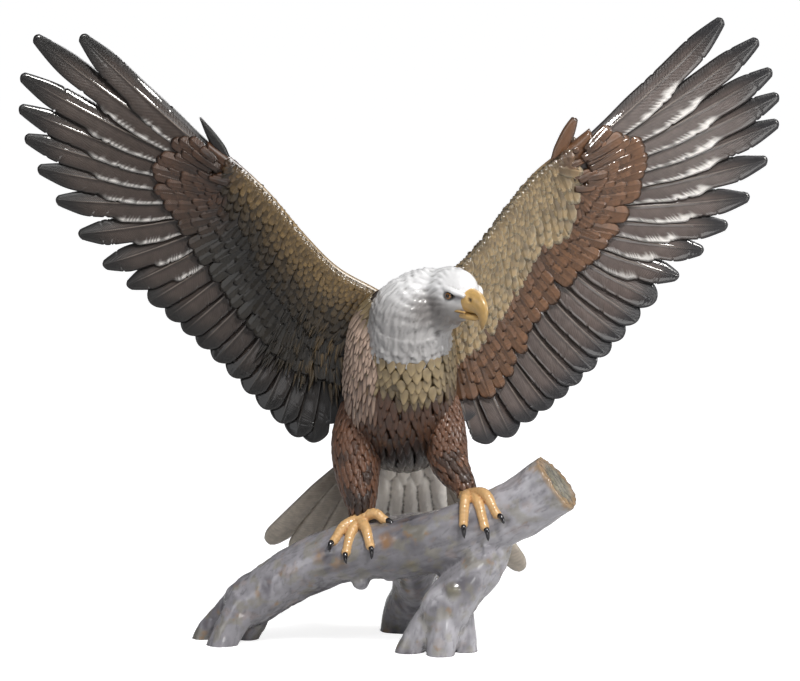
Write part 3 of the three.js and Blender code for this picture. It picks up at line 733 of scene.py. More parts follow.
def flight_feather(shell, wing, number, random):
    """One long feather from under the coverts to its tip: vanes, shaft, barbs, slits and paint"""
    side = wing["side"]
    root, end = wing["quill"](number), wing["tip"](number)
    length = np.linalg.norm(end - root)
    along = (end - root) / length
    trailing = np.array([along[1], -along[0]])
    lead_length = np.linalg.norm(root - wing["lead"](number))
    primary = number <= PRIMARIES_END
    vane = LEADING_VANE if primary else 0.5
    outline = POINTED if primary else ROUNDED
    start = ROOT_UNDER * COVERT_LENGTH * min(0.75 * number - 0.5, 1) / length
    visible = length * (1 - start)

    row, column, face, quads = pillow_layout(FLIGHT_ROWS, len(FLIGHT_COLUMNS) - 1)
    run = row / FLIGHT_ROWS
    edge = FLIGHT_COLUMNS[column]
    off = np.abs(edge)
    vane_width = np.where(edge < 0, vane, 1 - vane) * FLIGHT_WIDTH
    lean = min(ROW_LEAN, ROW_LEAN_SHARE * visible) * off * smooth(run, 0, 0.15) * (1 - smooth(run, 0.6, 0.95))
    at = run + (lean - corner_fall(outline, run, edge, FLIGHT_WIDTH, 0.6 * visible)) / visible
    notch = 1 - (NOTCH_SHARE if primary else 0) * smooth(run, *NOTCH_SPAN) * (edge > 0)
    slit = np.zeros(len(run))
    for place in random.uniform(*SLIT_SPAN, SLITS):
        slit = np.maximum(slit, np.clip(1 - np.abs(run - place) / SLIT_HALF, 0, 1))
    across = edge * vane_width * width_share(outline, run) * notch * (1 - 0.1 * slit * off ** 4)

    parity = np.where(row % 2 == 0, 1, -1)
    tuft = 0.5 + 0.5 * np.sin(run * 46 + number * 3 + 1.7 * np.sin(run * 17 + number))
    barb = parity * BARB_HEIGHT * (0.4 if primary else 1) * np.sin(np.pi * np.minimum(off, 0.8))
    barb *= 0.4 + 0.6 * tuft
    ridge = np.where(edge == 0, RACHIS_HEIGHT * (1 - 0.8 * run), 0)
    half = (FLIGHT_THICKNESS / 2 - FLIGHT_RIM_HALF) * (1 - off ** 3) * (1 - 0.5 * run) + FLIGHT_RIM_HALF
    relief = ridge + barb - 0.5 * slit * off
    toward = FLIGHT_TILT * across / (FLIGHT_WIDTH / 2) * (1 - 0.45 * smooth(run, 0.55, 1))
    toward += FLIGHT_CAMBER * (1 - edge ** 2) + face * (half + relief * np.where(face < 0, 0.6, 1))

    reach = start + (1 - start) * at
    sag = across + FLIGHT_SAG * length * np.sin(np.pi * reach)
    spot = root + along * (length * reach)[:, None] + trailing * sag[:, None]
    chord = (lead_length + length * reach) / (lead_length + length)
    points = lay(wing, spot, number, chord, toward)

    tone = FLIGHT_TONE[side] * random.uniform(0.9, 1.08)
    colour = blend(tone * 1.08, tone * 0.86, smooth(off, 0.1, 0.9))
    # Raised barb rows painted lighter and sunk rows darker: painted light and shade on the barbs
    colour = colour * (1 + (0.06 if primary else 0.2) * parity * (0.4 + 0.6 * tuft))[:, None]
    # Inner feathers darker toward the body, mostly on the left wing: partly own paint, partly painted shade
    # of that hollow
    inward = smooth(number, 9, 21) * (0.85 if side < 0 else 0.1)
    colour = layered(
        colour,
        (FLIGHT_EDGE[side], 0.75 * smooth(edge, 0.8, 1)),
        (FLIGHT_EDGE[side], (0.95 if primary else 0.5) * smooth(-edge, 0.15, 0.8)),
        (FLIGHT_EDGE[side], 0.6 * (off == BESIDE_SHAFT)),
        (RACHIS_TONE, 0.85 * (edge == 0) * (1 - 0.6 * run)),
        (FLIGHT_TIP[side], 0.94 * smooth(at + 0.05 * off, *TIP_SPAN)),
        (FLIGHT_TIP[side], inward * np.ones(len(run))),
    )
    if primary:
        streak = 0.5 + 0.5 * np.sin(row * 1.9 + 4 * np.sin(row * 0.37 + number))
        reach_in = 0.7 + 0.14 * streak if side < 0 else 0.7 + 0.16 * streak - 0.2 * smooth(run, 0.2, 0.5)
        fringe_end = FRINGE_END[side] - (0.1 if number == 0 and side < 0 else 0)
        fringe = smooth(edge, reach_in, reach_in + 0.2) * (1 - smooth(run, fringe_end - 0.07, fringe_end))
        strength = 0.97 - 0.6 * smooth(number, 7, 9.5) * (side > 0)
        colour = blend(colour, FRINGE, strength * fringe * (face >= 0))
    grain = np.column_stack([across, reach * length, np.full(len(run), number)])
    shell.add(points, quads, colour, grain)


def scale(shell, place, length, width, rows, outline, lift, paint, seed, columns=SMALL_COLUMNS, thickness=1.0,
          barb=0.0):
    """One small feather: place turns its share along, offset across and height into points"""
    row, column, face, quads = pillow_layout(rows, len(columns) - 1)
    run = row / rows
    edge = columns[column]
    off = np.abs(edge)
    lean = 0.1 * off * smooth(run, 0, 0.3) * (1 - smooth(run, 0.5, 0.9)) * (barb > 0)
    at = run + lean - corner_fall(outline, run, edge, width, length) / length
    across = edge * width_share(outline, run) * width / 2
    parity = np.where(row % 2 == 0, 1, -1) * np.sin(np.pi * np.minimum(off, 0.8))
    relief = np.where(edge == 0, 0.25 if barb == 0 else 0.5, 0) + barb * parity
    height = lift[0] + (lift[1] - lift[0]) * at + 0.09 * width * (1 - edge ** 2)
    height += face * (thickness / 2 * (1 - 0.7 * off ** 3) + relief * (face > 0))
    points = place(at, across, height)
    rim = np.maximum(off, smooth(run, 0.75, 1))
    # Raised barb rows lighter and sunk rows darker: painted light and shade on the barbs
    colour = paint(at, edge, rim, points) * (1 + 0.5 * barb * parity)[:, None]
    grain = np.column_stack([across, at * length, np.full(len(run), seed)])
    shell.add(points, quads, colour, grain)


def covert(shell, wing, number, reach, length, width, rows, outline, lift, paint, random, face):
    """One covert on a wing's face, with its end at a distance from the leading edge"""
    base = max(reach - length, LEADING_INSET)
    length = reach - base
    spot, _ = route(wing, number, np.array(base))
    ahead, _ = route(wing, number, np.array(reach))
    turn = random.normal(0, 0.07)
    quill_way = unit(wing["tip"](number) - wing["quill"](number))
    along = unit(blend(quill_way, unit(ahead - spot), smooth(number, 3, 7)))
    spot = ahead - along * length
    along = np.array([along[0] * math.cos(turn) - along[1] * math.sin(turn),
                      along[0] * math.sin(turn) + along[1] * math.cos(turn)])
    trailing = np.array([along[1], -along[0]])
    whole = reach / max(route(wing, number, np.array(reach))[1], 0.01)

    def place(at, across, height):
        distance = base + at * length
        point = spot + along * (at * length)[:, None] + trailing * across[:, None]
        inside = np.maximum(distance, LEADING_ROUND * (1 - float(smooth(number, 2, 5))))
        toward = arm_half(wing, number, inside) + height
        return lay(wing, point, number, distance / whole, face * toward)

    broad = width > BARBED_WIDTH and face > 0
    scale(shell, place, length, width, rows, outline, lift, paint, random.uniform(0, 40),
          LARGE_COLUMNS if broad else SMALL_COLUMNS, 1.0, 0.22 if broad else 0)


def covert_row(wing, reach, width):
    """Feather numbers along a row, so that neighbours are an even way apart, and how far each reaches"""
    number = 0.2
    numbers = []
    while number < 25:
        distance = np.array(float(reach(number)))
        if distance > LEADING_BARE:
            numbers.append((number, float(distance)))
        here, _ = route(wing, number, distance)
        there, _ = route(wing, number + 0.25, distance)
        number += width * ROW_OVERLAP / max(np.linalg.norm(there - here) * 4, 3.0)
    return numbers


def large_paint(wing, number, random):
    side = wing["side"]
    # Inner coverts turn to the inner tone, far darker on the left wing: partly own paint, partly painted
    # shade
    tone = blend(LARGE_TONE[side], INNER_TONE[side], smooth(number, 5, 10)) * random.uniform(0.84, 1.16)

    def paint(at, edge, rim, points):
        colour = blend(tone * 0.55, tone * 1.2, smooth(at, 0.3, 0.9))
        dark = LARGE_EDGE[side]
        return layered(colour, (dark, 0.35 * (edge == 0)), (dark, 0.8 * smooth(rim, 0.84, 1)))

    return paint


def small_paint(wing, number, share, random):
    side = wing["side"]
    tone = SMALL_TONE[side] * random.uniform(0.76, 1.2)
    wrist = 1 - smooth(number + 3 * share + random.uniform(-0.7, 0.7), *WRIST_FADE)
    tone = blend(tone, LARGE_TONE[side], 0.9 * wrist)
    # On the left wing the scales turn dark toward the body: partly their own paint, partly painted shade
    if side < 0:
        tone = blend(tone, INNER_TONE[side], 0.9 * smooth(share + 0.012 * (number - 12), 0.3, 0.95))

    def paint(at, edge, rim, points):
        # Darker toward the root, where the next row lies over it: partly painted shade
        colour = blend(tone * 0.5, tone * 1.1, smooth(at, 0.5, 0.8))
        return blend(colour, SMALL_EDGE[side], 0.9 * (1 - 0.8 * wrist) * smooth(rim, 0.74, 0.94))

    return paint


def coverts(shell, wing, random, face):
    """Rows of coverts on one face: long brown ones, then small scales, finer toward the leading edge"""
    large, small = wing["large_reach"], wing["small_reach"]
    front = face > 0

    def large_at(number):
        return float(large(number)[0])

    def small_at(number):
        return float(small(number)[0])

    for row, (width, length, drop) in enumerate(LARGE_ROWS):
        for number, reach in covert_row(wing, lambda n: large_at(n) - drop, width):
            hidden = row > 1 and number > WRIST_END and reach < small_at(number) + 2
            at_wrist = row > 2 and number < WRIST_BARE
            thinned = not front and row > 1 and row % 2 == 1
            if hidden or at_wrist or thinned or reach < LEADING_ROUND:
                continue
            wide = width * random.uniform(0.92, 1.08) * (0.75 + 0.25 * smooth(reach, 20, 50))
            end = reach + random.normal(0, 1.0)
            rows = (14 if row < 2 else 10) if front else 6
            outline = ROUNDED if row < 3 else SCALLOP
            covert(shell, wing, number, end, length, wide, rows, outline, (0.4, 2.6 - 0.15 * row),
                   large_paint(wing, number, random), random, face)
    drop = 0.0
    coarse = 1.0 if front else BACK_COARSER
    while drop < SMALL_LAST_ROW:
        width = coarse * (SMALL_WIDEST + (SMALL_NARROWEST - SMALL_WIDEST) * smooth(drop, 8, 50))
        for number, reach in covert_row(wing, lambda n: small_at(n) - drop + 2, width):
            if number < WRIST_END and front:
                continue
            share = reach / max(small_at(number), 1)
            outer = 1.25 if wing["side"] > 0 and number < 10 and drop < 16 else 1.0
            place = number + random.normal(0, 0.05)
            end = reach + random.normal(0, 0.6)
            wide = width * outer * random.uniform(0.92, 1.14)
            rise = (0.7 + 0.17 * width) * (0.25 + 0.75 * float(smooth(reach, 3, 26)))
            covert(shell, wing, place, end, 2.1 * width * outer, wide, 6 if front else 4, SCALLOP,
                   (0.3, rise), small_paint(wing, number, share, random), random, face)
        drop += 0.72 * width
    if wing["side"] < 0 and front:
        inner_tufts(shell, wing, random)


def inner_tufts(shell, wing, random):
    """Ruffled narrow feathers over the dark hollow beside the body"""
    for number in np.sort(random.uniform(15.5, 25, INNER_TUFTS)):
        reach = random.uniform(62, 128)
        gold = random.uniform(0, 0.8) * float(smooth(number, 15, 22))
        # Dark tone of the hollow: partly the feathers' own paint, partly painted shade
        tone = blend(INNER_TONE[-1] * 0.8, SMALL_TONE[-1] * 0.55, gold)

        def paint(at, edge, rim, points):
            return blend(tone * 1.15, tone * 0.5, smooth(rim, 0.5, 1))

        covert(shell, wing, number, reach, random.uniform(20, 30), random.uniform(4, 6), 8, LANCE,
               (0.8, random.uniform(3, 4.4)), paint, random, 1)


def wing_arm(shell, wing):
    """The smooth arm under the coverts"""
    rows, columns = 24, 60
    row, column, face, quads = pillow_layout(rows, columns)
    number = 25 * column / columns
    large = wing["large_reach"](number)[:, 0]
    distance = row / rows * (large - 6)
    spot, chord = route(wing, number, distance)
    end = np.clip((rows - row) / 3, 0, 1)
    toward = face * (arm_half(wing, number, distance) - 0.6) * end
    side = wing["side"]
    colour = blend(LARGE_TONE[side], SMALL_TONE[side], smooth(number, *WRIST_FADE))
    colour = blend(colour, LARGE_EDGE[side], smooth(distance, 12, 26))
    shell.add(lay(wing, spot, number, chord, toward), quads, colour)


def thumb_feather(shell, wing):
    root, end = wing["thumb"]
    length = np.linalg.norm(end - root)
    along = (end - root) / length
    across_axis = np.array([-along[1], along[0]])
    side = wing["side"]
    tone = FLIGHT_EDGE[side] if side < 0 else LARGE_TONE[side]

    def place(at, across, height):
        spot = root + along * (at * length)[:, None] + across_axis * across[:, None]
        return lay(wing, spot, 0, np.zeros(len(at)), height)

    def paint(at, edge, rim, points):
        return blend(tone, LARGE_EDGE[side], 0.7 * smooth(rim, 0.7, 1))

    outline, width = THUMB_SHAPE[side]
    scale(shell, place, length, width, 24, outline, (0, 0), paint, 3, LARGE_COLUMNS, THUMB_THICKNESS)


def wing_pieces(keys, name):
    wing = wing_of(keys)
    random = np.random.RandomState(11 + keys["side"])
    flight = Shell()
    for number in range(FLIGHT_FEATHERS):
        flight_feather(flight, wing, number, random)
    arm = Shell()
    wing_arm(arm, wing)
    thumb_feather(arm, wing)
    coverts(arm, wing, random, 1)
    back = Shell()
    coverts(back, wing, random, -1)
    return [
        (flight.object(name + "_flight_feathers"), PLUMAGE),
        (arm.object(name + "_front_coverts"), PLUMAGE),
        (back.object(name + "_back_coverts"), PLUMAGE),
    ]


def coat(shell, keys, span, rows, width, lift, outline, paint, random, stretch=2.0, detail=7, keep=None):
    """Rows of scales over a rounded form, each over the next; keep picks them by share and angle"""
    first, last = span
    skin = spine(keys, ACROSS)
    curve = keyed(keys)
    middle = curve(np.linspace(0, 1, 60))[:, :3]
    total = np.linalg.norm(np.diff(middle, axis=0), axis=1).sum()
    step = (last - first) / rows
    for row in range(rows):
        at_row = first + step * row
        values = curve(at_row + step)
        round_way = 2 * np.pi * math.sqrt((values[3] ** 2 + values[4] ** 2) / 2)
        count = max(int(round_way / (width * 0.86)), 6)
        for k in range(count):
            angle = 2 * np.pi * (k + 0.5 * (row % 2)) / count + random.normal(0, 0.03)
            slide = random.normal(0, 0.1) * step
            size = random.uniform(0.88, 1.12)
            turn = random.normal(0, 0.12)
            if keep and not keep(at_row + step * stretch, angle, skin):
                continue

            def place(at, across, height):
                share = at_row + slide + at * step * stretch
                swing = angle + (across + at * turn * width) * 2 * np.pi / round_way
                return skin(share, swing, height)

            length = step * stretch * total
            scale(shell, place, length, width * 1.12 * size, detail, outline, lift, paint, k + row)


def core(shell, keys, rings, sides, shrink, paint, last=1.0):
    """The smooth form under its scales, up to a share of its length"""
    skin = spine(keys, ACROSS)
    at, angle = np.meshgrid(np.linspace(0, last, rings), turns(sides), indexing="ij")
    loft(shell, skin(at, angle, -shrink), paint)


def on_breast(share, angle, skin):
    """True where a scale's tip lies within the pointed edge of the tan breast"""
    x, y, z = skin(share, angle, 0)
    return y < 25 and z > BREAST_POINT[1] + BREAST_SLOPE * abs(x - BREAST_POINT[0])


def on_flank(share, angle, skin):
    """True where a scale's tip lies on the pale flank beside the left wing"""
    x, y, z = skin(share, angle, 0)
    return x < -20 and y < 44 and z > 200


def shaded(tone, at, rim, root, tip, rise, edge, strength, border):
    """A scale's tone from its darker root to its lighter tip, and darker again along its rim"""
    colour = blend(tone * root, tone * tip, smooth(at, *rise))
    return blend(colour, tone * edge, strength * smooth(rim, *border))


def patchy(points, size):
    """The middle of a scale, and soft noise from -1 to 1 there"""
    middle = points.mean(axis=0)
    return *middle, noise.noise(Vector(middle) / size)


def body_paint(at, edge, rim, points):
    x, y, z, patch = patchy(points, 11)
    front = smooth(-(y - 40), -10, 12)
    edge_line = BREAST_POINT[1] + BREAST_SLOPE * abs(x - BREAST_POINT[0])
    breast = smooth(z - edge_line, -3, 4) * front
    side = smooth(x, 34, 42) * smooth(z, 222, 240) * front
    tone = blend(BODY_DARK, BODY_TONE, smooth(z, 178, 205))
    tone = blend(tone, BREAST_TONE * 0.85, np.maximum(breast, 0.6 * side))
    return shaded(tone * (0.92 + 0.25 * patch), at, rim, 0.74, 1.12, (0.3, 0.9), 0.5, 0.6, (0.8, 1))


def breast_paint(at, edge, rim, points):
    colour = blend(BREAST_TONE * 0.72, BREAST_TONE * 1.12, smooth(at, 0.3, 0.8))
    light, dark = 0.5 * smooth(rim, 0.5, 0.8), 0.7 * smooth(rim, 0.88, 1)
    return layered(colour, (BREAST_TONE * 1.3, light), (BREAST_TONE * 0.34, dark))


def flank_paint(at, edge, rim, points):
    x, y, z, patch = patchy(points, 7)
    tone = blend(FLANK_TONE, BODY_TONE, (0.5 + 0.5 * patch) * smooth(-z, -290, -210))
    return shaded(tone, at, rim, 0.5, 1.25, (0.1, 0.8), 0.4, 0.9, (0.6, 1))


def thigh_paint(at, edge, rim, points):
    x, y, z, patch = patchy(points, 13)
    dark = smooth(patch, -0.1, 0.35) * (1 - smooth(z, 165, 222))
    tone = blend(THIGH_TONE, THIGH_DARK, 0.85 * dark + 0.15 * (1 - smooth(z, 120, 160)))
    return shaded(tone, at, rim, 0.88, 1.1, (0.3, 0.9), 0.55, 0.5, (0.85, 1))


def white_paint(at, edge, rim, points):
    return WHITE


def body_pieces():
    random = np.random.RandomState(5)
    body = Shell()
    core(body, BODY, 30, 40, 0.6, BODY_DARK)
    core(body, BREAST, 20, 40, 0.8, BREAST_TONE * 0.4, 0.58)
    coat(body, BODY, (0.01, 0.98), 22, 8.8, (0.1, 1.6), LEAF, body_paint, random, 2.1, 6)
    coat(body, BREAST, (0.0, 0.64), 4, 10.5, (0.4, 2.8), LEAF, breast_paint, random, 1.5, 10, on_breast)
    coat(body, BODY, (0.08, 0.6), 12, 5.4, (0.6, 3.4), LEAF, flank_paint, random, 2.5, 8, on_flank)
    thighs = Shell()
    for keys in (LEFT_THIGH, RIGHT_THIGH):
        core(thighs, keys, 20, 28, 0.6, THIGH_DARK)
        coat(thighs, keys, (0.02, 0.95), 18, 7.6, (0.0, 0.7), LEAF, thigh_paint, random, 2.1, 6)
    return [(body.object("body_plumage"), PLUMAGE), (thighs.object("thigh_plumage"), PLUMAGE)]


HEAD_FORWARD = np.array([math.sin(HEAD_YAW), -math.cos(HEAD_YAW), 0.0])
HEAD_SIDE = np.array([-math.cos(HEAD_YAW), -math.sin(HEAD_YAW), 0.0])


def head_spot(ahead, side, up):
    """Point given forward, toward the viewer and up from the middle of the cranium"""
    ahead, side, up = (np.asarray(value, float)[..., None] for value in (ahead, side, up))
    return HEAD_CENTRE + HEAD_FORWARD * ahead + HEAD_SIDE * side + UPWARD * up


def head_egg(shell, centre, radii, detail=16):
    loft(shell, egg_rings(head_spot(*centre), radii, HEAD_YAW - np.pi / 2, 0, detail))


def both_sides(shell, path, radii):
    """The same bar on both sides of the head"""
    for side in (-1, 1):
        loft(shell, bar_rings([head_spot(ahead, side * out, up) for ahead, out, up in path], radii, 16, 24))


def head_distance(points, spot, stretch=(1, 1, 1)):
    return np.linalg.norm((points - head_spot(*spot)) * stretch, axis=1)


def head_form():
    """The bare head and neck, fused and smoothed"""
    shell = Shell()
    core(shell, NECK, 40, 60, -0.7, WHITE, COLLAR_SHARE + 0.02)
    head_egg(shell, (0, 0, 0), CRANIUM, 32)
    for centre, radii in HEAD_MASSES:
        head_egg(shell, centre, radii, 24)
    return fused("head_and_neck", shell, HEAD_FORM_VOXEL, 60)


def head_piece():
    """Head and neck in one soft skin: form, brows, strands, collar, eye sockets and combed feathers"""
    random = np.random.RandomState(3)
    obj = head_form()
    strands = Shell()
    both_sides(strands, BROW, BROW_RADIUS)
    neck_rows = (0.05, COLLAR_SHARE - 0.08)
    collar_rows = (COLLAR_SHARE - 0.16, COLLAR_SHARE)
    coat(strands, NECK, neck_rows, 19, 6.2, (-2.0, 0.8), LANCE, white_paint, random, 3.4, 12)
    coat(strands, NECK, collar_rows, 3, 7.5, (-3.0, 2.2), SCALLOP, white_paint, random, 2.0, 12)
    smoothed, _ = read_points(obj.data)
    quads = [list(polygon.vertices) for polygon in obj.data.polygons]
    strands.add(smoothed, np.array([quad if len(quad) == 4 else quad + quad[-1:] for quad in quads]))
    bpy.data.objects.remove(obj)
    obj = fused("head_and_neck", strands, HEAD_VOXEL, 2)
    mesh = obj.data
    points, normals = read_points(mesh)
    eyes = [(EYE_SPOT[0], side * EYE_SPOT[1], EYE_SPOT[2]) for side in (-1, 1)]
    for eye in eyes:
        near = head_distance(points, eye, [1, 1, 1.15])
        points -= normals * (SOCKET_DEPTH * np.exp(-(near / SOCKET_WIDTH) ** 2))[:, None]
    local = points - HEAD_CENTRE
    ahead = local @ HEAD_FORWARD
    fade = smooth(-ahead, -16, -4)
    angle = np.arctan2(local @ HEAD_SIDE, local[:, 2])
    sweep = ahead + 0.35 * local[:, 2]
    combs = np.sin(angle * 21 + 2.2 * np.sin(sweep / 6)) * np.sin(sweep / 3.4 + 1.5 * np.sin(angle * 5))
    points += normals * (COMB_HEIGHT * fade * combs)[:, None]
    write_points(mesh, points)
    points, normals, depth = read_grooves(mesh)
    # Painted shade: grey low on the head and neck, and where the skin faces down and left, away from the
    # light
    low = 1 - smooth(points[:, 2] + 0.35 * normals[:, 2] * 30 + 0.25 * (points[:, 0] - 30), 300, 345)
    colour = blend(WHITE, WHITE_PAINTED_SHADE, 0.72 * low)
    # Painted shadow under the jaw and on the cheek
    for spot, full, end, strength in HEAD_PAINTED_SHADOWS:
        colour = blend(colour, WHITE_PAINTED_SHADE, strength * (1 - smooth(head_distance(points, spot), full, end)))
    # Painted shade in the grooves between the head's feathers
    colour = blend(colour, WHITE_PAINTED_SHADE * 0.7, 0.9 * smooth(depth, 0.01, 0.15))
    for eye, side in zip(eyes, (-1, 1)):
        near = head_distance(points, eye, [1, 1, 1.4])
        lores = head_distance(points, (EYE_SPOT[0] + 8, side * 11, 1), [1, 1, 2])
        colour = layered(
            colour,
            # Painted shadow in front of the eye, under the brow
            (LORES_PAINTED_SHADOW, 0.75 * (1 - smooth(lores, 3, 8))),
            # Dark ring round the eye: partly its own dark rim, partly painted shade under the brow
            (EYE_RIM, 0.85 * (1 - smooth(near, 5.2, 7))),
        )
    write_attributes(mesh, colour)
    return obj


def beak_rings(keys, rings, sides):
    values = keyed(keys)(np.linspace(0, 1, rings))[:, None]
    angle = turns(sides)
    rise = np.sin(angle) * values[..., 3]
    ahead = values[..., 0] + rise * values[..., 4]
    return head_spot(ahead, np.cos(angle) * values[..., 2], values[..., 1] + rise)


def beak_piece():
    shell = Shell()
    loft(shell, beak_rings(UPPER_BEAK, 48, 40))
    loft(shell, beak_rings(LOWER_BEAK, 30, 28))
    both_sides(shell, GAPE, GAPE_RADIUS)
    obj = shell.object("beak")
    points, normals = read_points(obj.data)
    local = points - HEAD_CENTRE
    ahead = local @ HEAD_FORWARD
    up = local[:, 2]
    side = np.abs(local @ HEAD_SIDE)
    past = ahead - NOSTRIL[0]
    nostril = np.hypot(past / NOSTRIL_HALF[0], (up - NOSTRIL[1] + 0.3 * past) / NOSTRIL_HALF[1])
    dent = (1 - smooth(nostril, 0.5, 1.2)) * (side > 3)
    points -= normals * (NOSTRIL_DEPTH * dent)[:, None]
    write_points(obj.data, points)
    mouth = 1 - smooth(np.abs(up + MOUTH_DOWN + 0.08 * (ahead - 20)), 0.4, 1.3)
    write_attributes(obj.data, layered(
        BEAK_TONE,
        # Painted highlight: the beak lighter in the middle of its length
        (BEAK_TONE * 1.25, smooth(ahead, 20, 30) * (1 - smooth(ahead, 30, 44))),
        (BEAK_DARK, 0.8 * mouth * (ahead < 42)),
        (BEAK_DARK * 0.5, dent),
        # Painted shade: the beak darker low on its hook
        (BEAK_DARK * 1.4, 0.5 * smooth(-up, 19, 29)),
    ))
    return obj


def eyes_piece():
    """Both eyeballs; the tones change with the angle off the way that an eye looks"""
    shell = Shell()
    for side in (-1, 1):
        centre = head_spot(EYE_SPOT[0], side * EYE_SPOT[1], EYE_SPOT[2] - 0.3)
        gaze = unit(HEAD_SIDE * side + HEAD_FORWARD * EYE_GAZE_AHEAD + UPWARD * EYE_GAZE_UP)
        rings = egg_rings(centre, (EYE_RADIUS,) * 3, detail=28)
        off = np.arccos(np.clip(unit(rings.reshape(-1, 3) - centre) @ gaze, -1, 1))
        colour = layered(
            PUPIL,
            (IRIS, smooth(off, 0.42, 0.52)),
            (IRIS * 0.4, smooth(off, 0.62, 0.8)),
            (PUPIL, smooth(off, 0.86, 0.96)),
        )
        caps = np.tile(PUPIL, (2, 1))
        loft(shell, rings, np.concatenate([colour, caps]))
    return shell.object("eyes")


def rump_scales(shell):
    """White tail coverts over the back of the rump, each row standing over the next"""
    random = np.random.RandomState(21)
    down = unit(TAIL_END - TAIL_ROOT)
    outward = unit(np.cross(down, ACROSS) * -1)
    outward = outward * np.sign(outward[1])
    wide, deep, long = RUMP_HALF
    width = 2.2 * wide / RUMP_COLUMNS
    for row in range(RUMP_ROWS):
        share = RUMP_FIRST + RUMP_SPREAD * row / RUMP_ROWS
        for column in range(RUMP_COLUMNS):
            off = (2 * (column + 0.5 * (row % 2)) / (RUMP_COLUMNS - 0.5) - 1) * RUMP_REACH
            tone = VENT_TONE * random.uniform(0.82, 1.0)

            def place(at, across, height):
                u = off + across / wide
                v = share + at * RUMP_SCALE_LENGTH / long
                rise = deep * np.sqrt(np.clip(1 - u ** 2 - v ** 2, 0, 1)) + height
                spot = np.array(RUMP_CENTRE) + np.outer(u * wide, ACROSS) + np.outer(v * long, down)
                return spot + rise[:, None] * outward

            def paint(at, edge, rim, points):
                return blend(tone, TAIL_SHADE, 0.7 * smooth(rim, 0.8, 1))

            scale(shell, place, RUMP_SCALE_LENGTH, width, 10, LEAF, (0, RUMP_SCALE_LIFT), paint, row,
                  LARGE_COLUMNS, 1.4)


def tail_piece():
    shell = Shell()
    rump_scales(shell)
    facing = unit(np.array([-TAIL_TURN, -math.cos(TAIL_SLOPE), -math.sin(TAIL_SLOPE)]))
    for number in range(TAIL_FEATHERS):
        fan = 2 * (number + 0.5) / TAIL_FEATHERS - 1
        middle = 1 - fan * fan
        root = TAIL_ROOT + [TAIL_ROOT_SPREAD * fan, 0, -TAIL_ROOT_FALL * fan]
        end = TAIL_END + [TAIL_SPREAD * fan, TAIL_REACH * middle, -TAIL_FALL * fan - TAIL_DROP * middle]
        along = unit(end - root)
        across_axis = unit(np.cross(facing, along))
        length = np.linalg.norm(end - root)
        order = 1.6 * (1 - abs(fan)) * TAIL_FEATHERS / 2

        def place(at, across, height):
            spot = root + along * (at * length)[:, None] + across_axis * across[:, None]
            tilt = 0.12 * across * np.sign(fan)
            return spot + facing * (height + order - 3 + tilt)[:, None]

        def paint(at, edge, rim, points):
            # Darker toward the root: painted shade where the feathers run under the rump
            colour = blend(TAIL_SHADE, TAIL_TONE, smooth(at, 0.1, 0.75))
            return blend(colour, TAIL_SHADE, 0.5 * smooth(np.abs(edge), 0.75, 1))

        scale(shell, place, length, TAIL_WIDTH, 70, ROUNDED, (0, 0), paint, number, LARGE_COLUMNS, 3.6, 0.16)
    return shell.object("tail_feathers")


def vent_piece():
    shell = Shell()
    loft(shell, egg_rings(RUMP_CENTRE, RUMP_HALF, 0, TAIL_SLOPE, 24))
    loft(shell, egg_rings(VENT_FILLER, VENT_FILLER_HALF, 0, TAIL_SLOPE, 20))
    tiers = ((VENT_LOBES, VENT_PATH, VENT_LOBE_RADIUS), (VENT_LOBES - 1, VENT_UPPER_PATH, VENT_UPPER_RADIUS))
    for lobes, (top, bulge, low), radii in tiers:
        for number in range(lobes):
            offset = number - (lobes - 1) / 2
            x = VENT_MIDDLE + offset * VENT_SPACING
            lean = VENT_SPLAY * offset * VENT_SPACING
            end = (x + lean, low[0], low[1] + VENT_DROP * abs(offset))
            loft(shell, bar_rings([(x - lean, *top), (x, *bulge), end], radii, 24, 24))
            loft(shell, egg_rings(end, (radii[-1], radii[-1], radii[-1] * 1.3), detail=12))
    obj = fused("vent_feathers", shell, VENT_VOXEL, 5)
    points, normals = read_points(obj.data)
    points += normals * (0.35 * cloud(points, 5, 9, 2))[:, None]
    write_points(obj.data, points)
    points, normals, depth = read_grooves(obj.data)
    write_attributes(obj.data, layered(
        VENT_TONE,
        # Painted shade in the grooves between the lobes
        (VENT_PAINTED_SHADE, 0.85 * smooth(depth, 0.005, 0.12)),
        # Painted shade: the lobes darker toward their lower ends
        (VENT_PAINTED_SHADE * 0.7, 0.6 * (1 - smooth(points[:, 2], 98, 112))),
    ))
    return obj


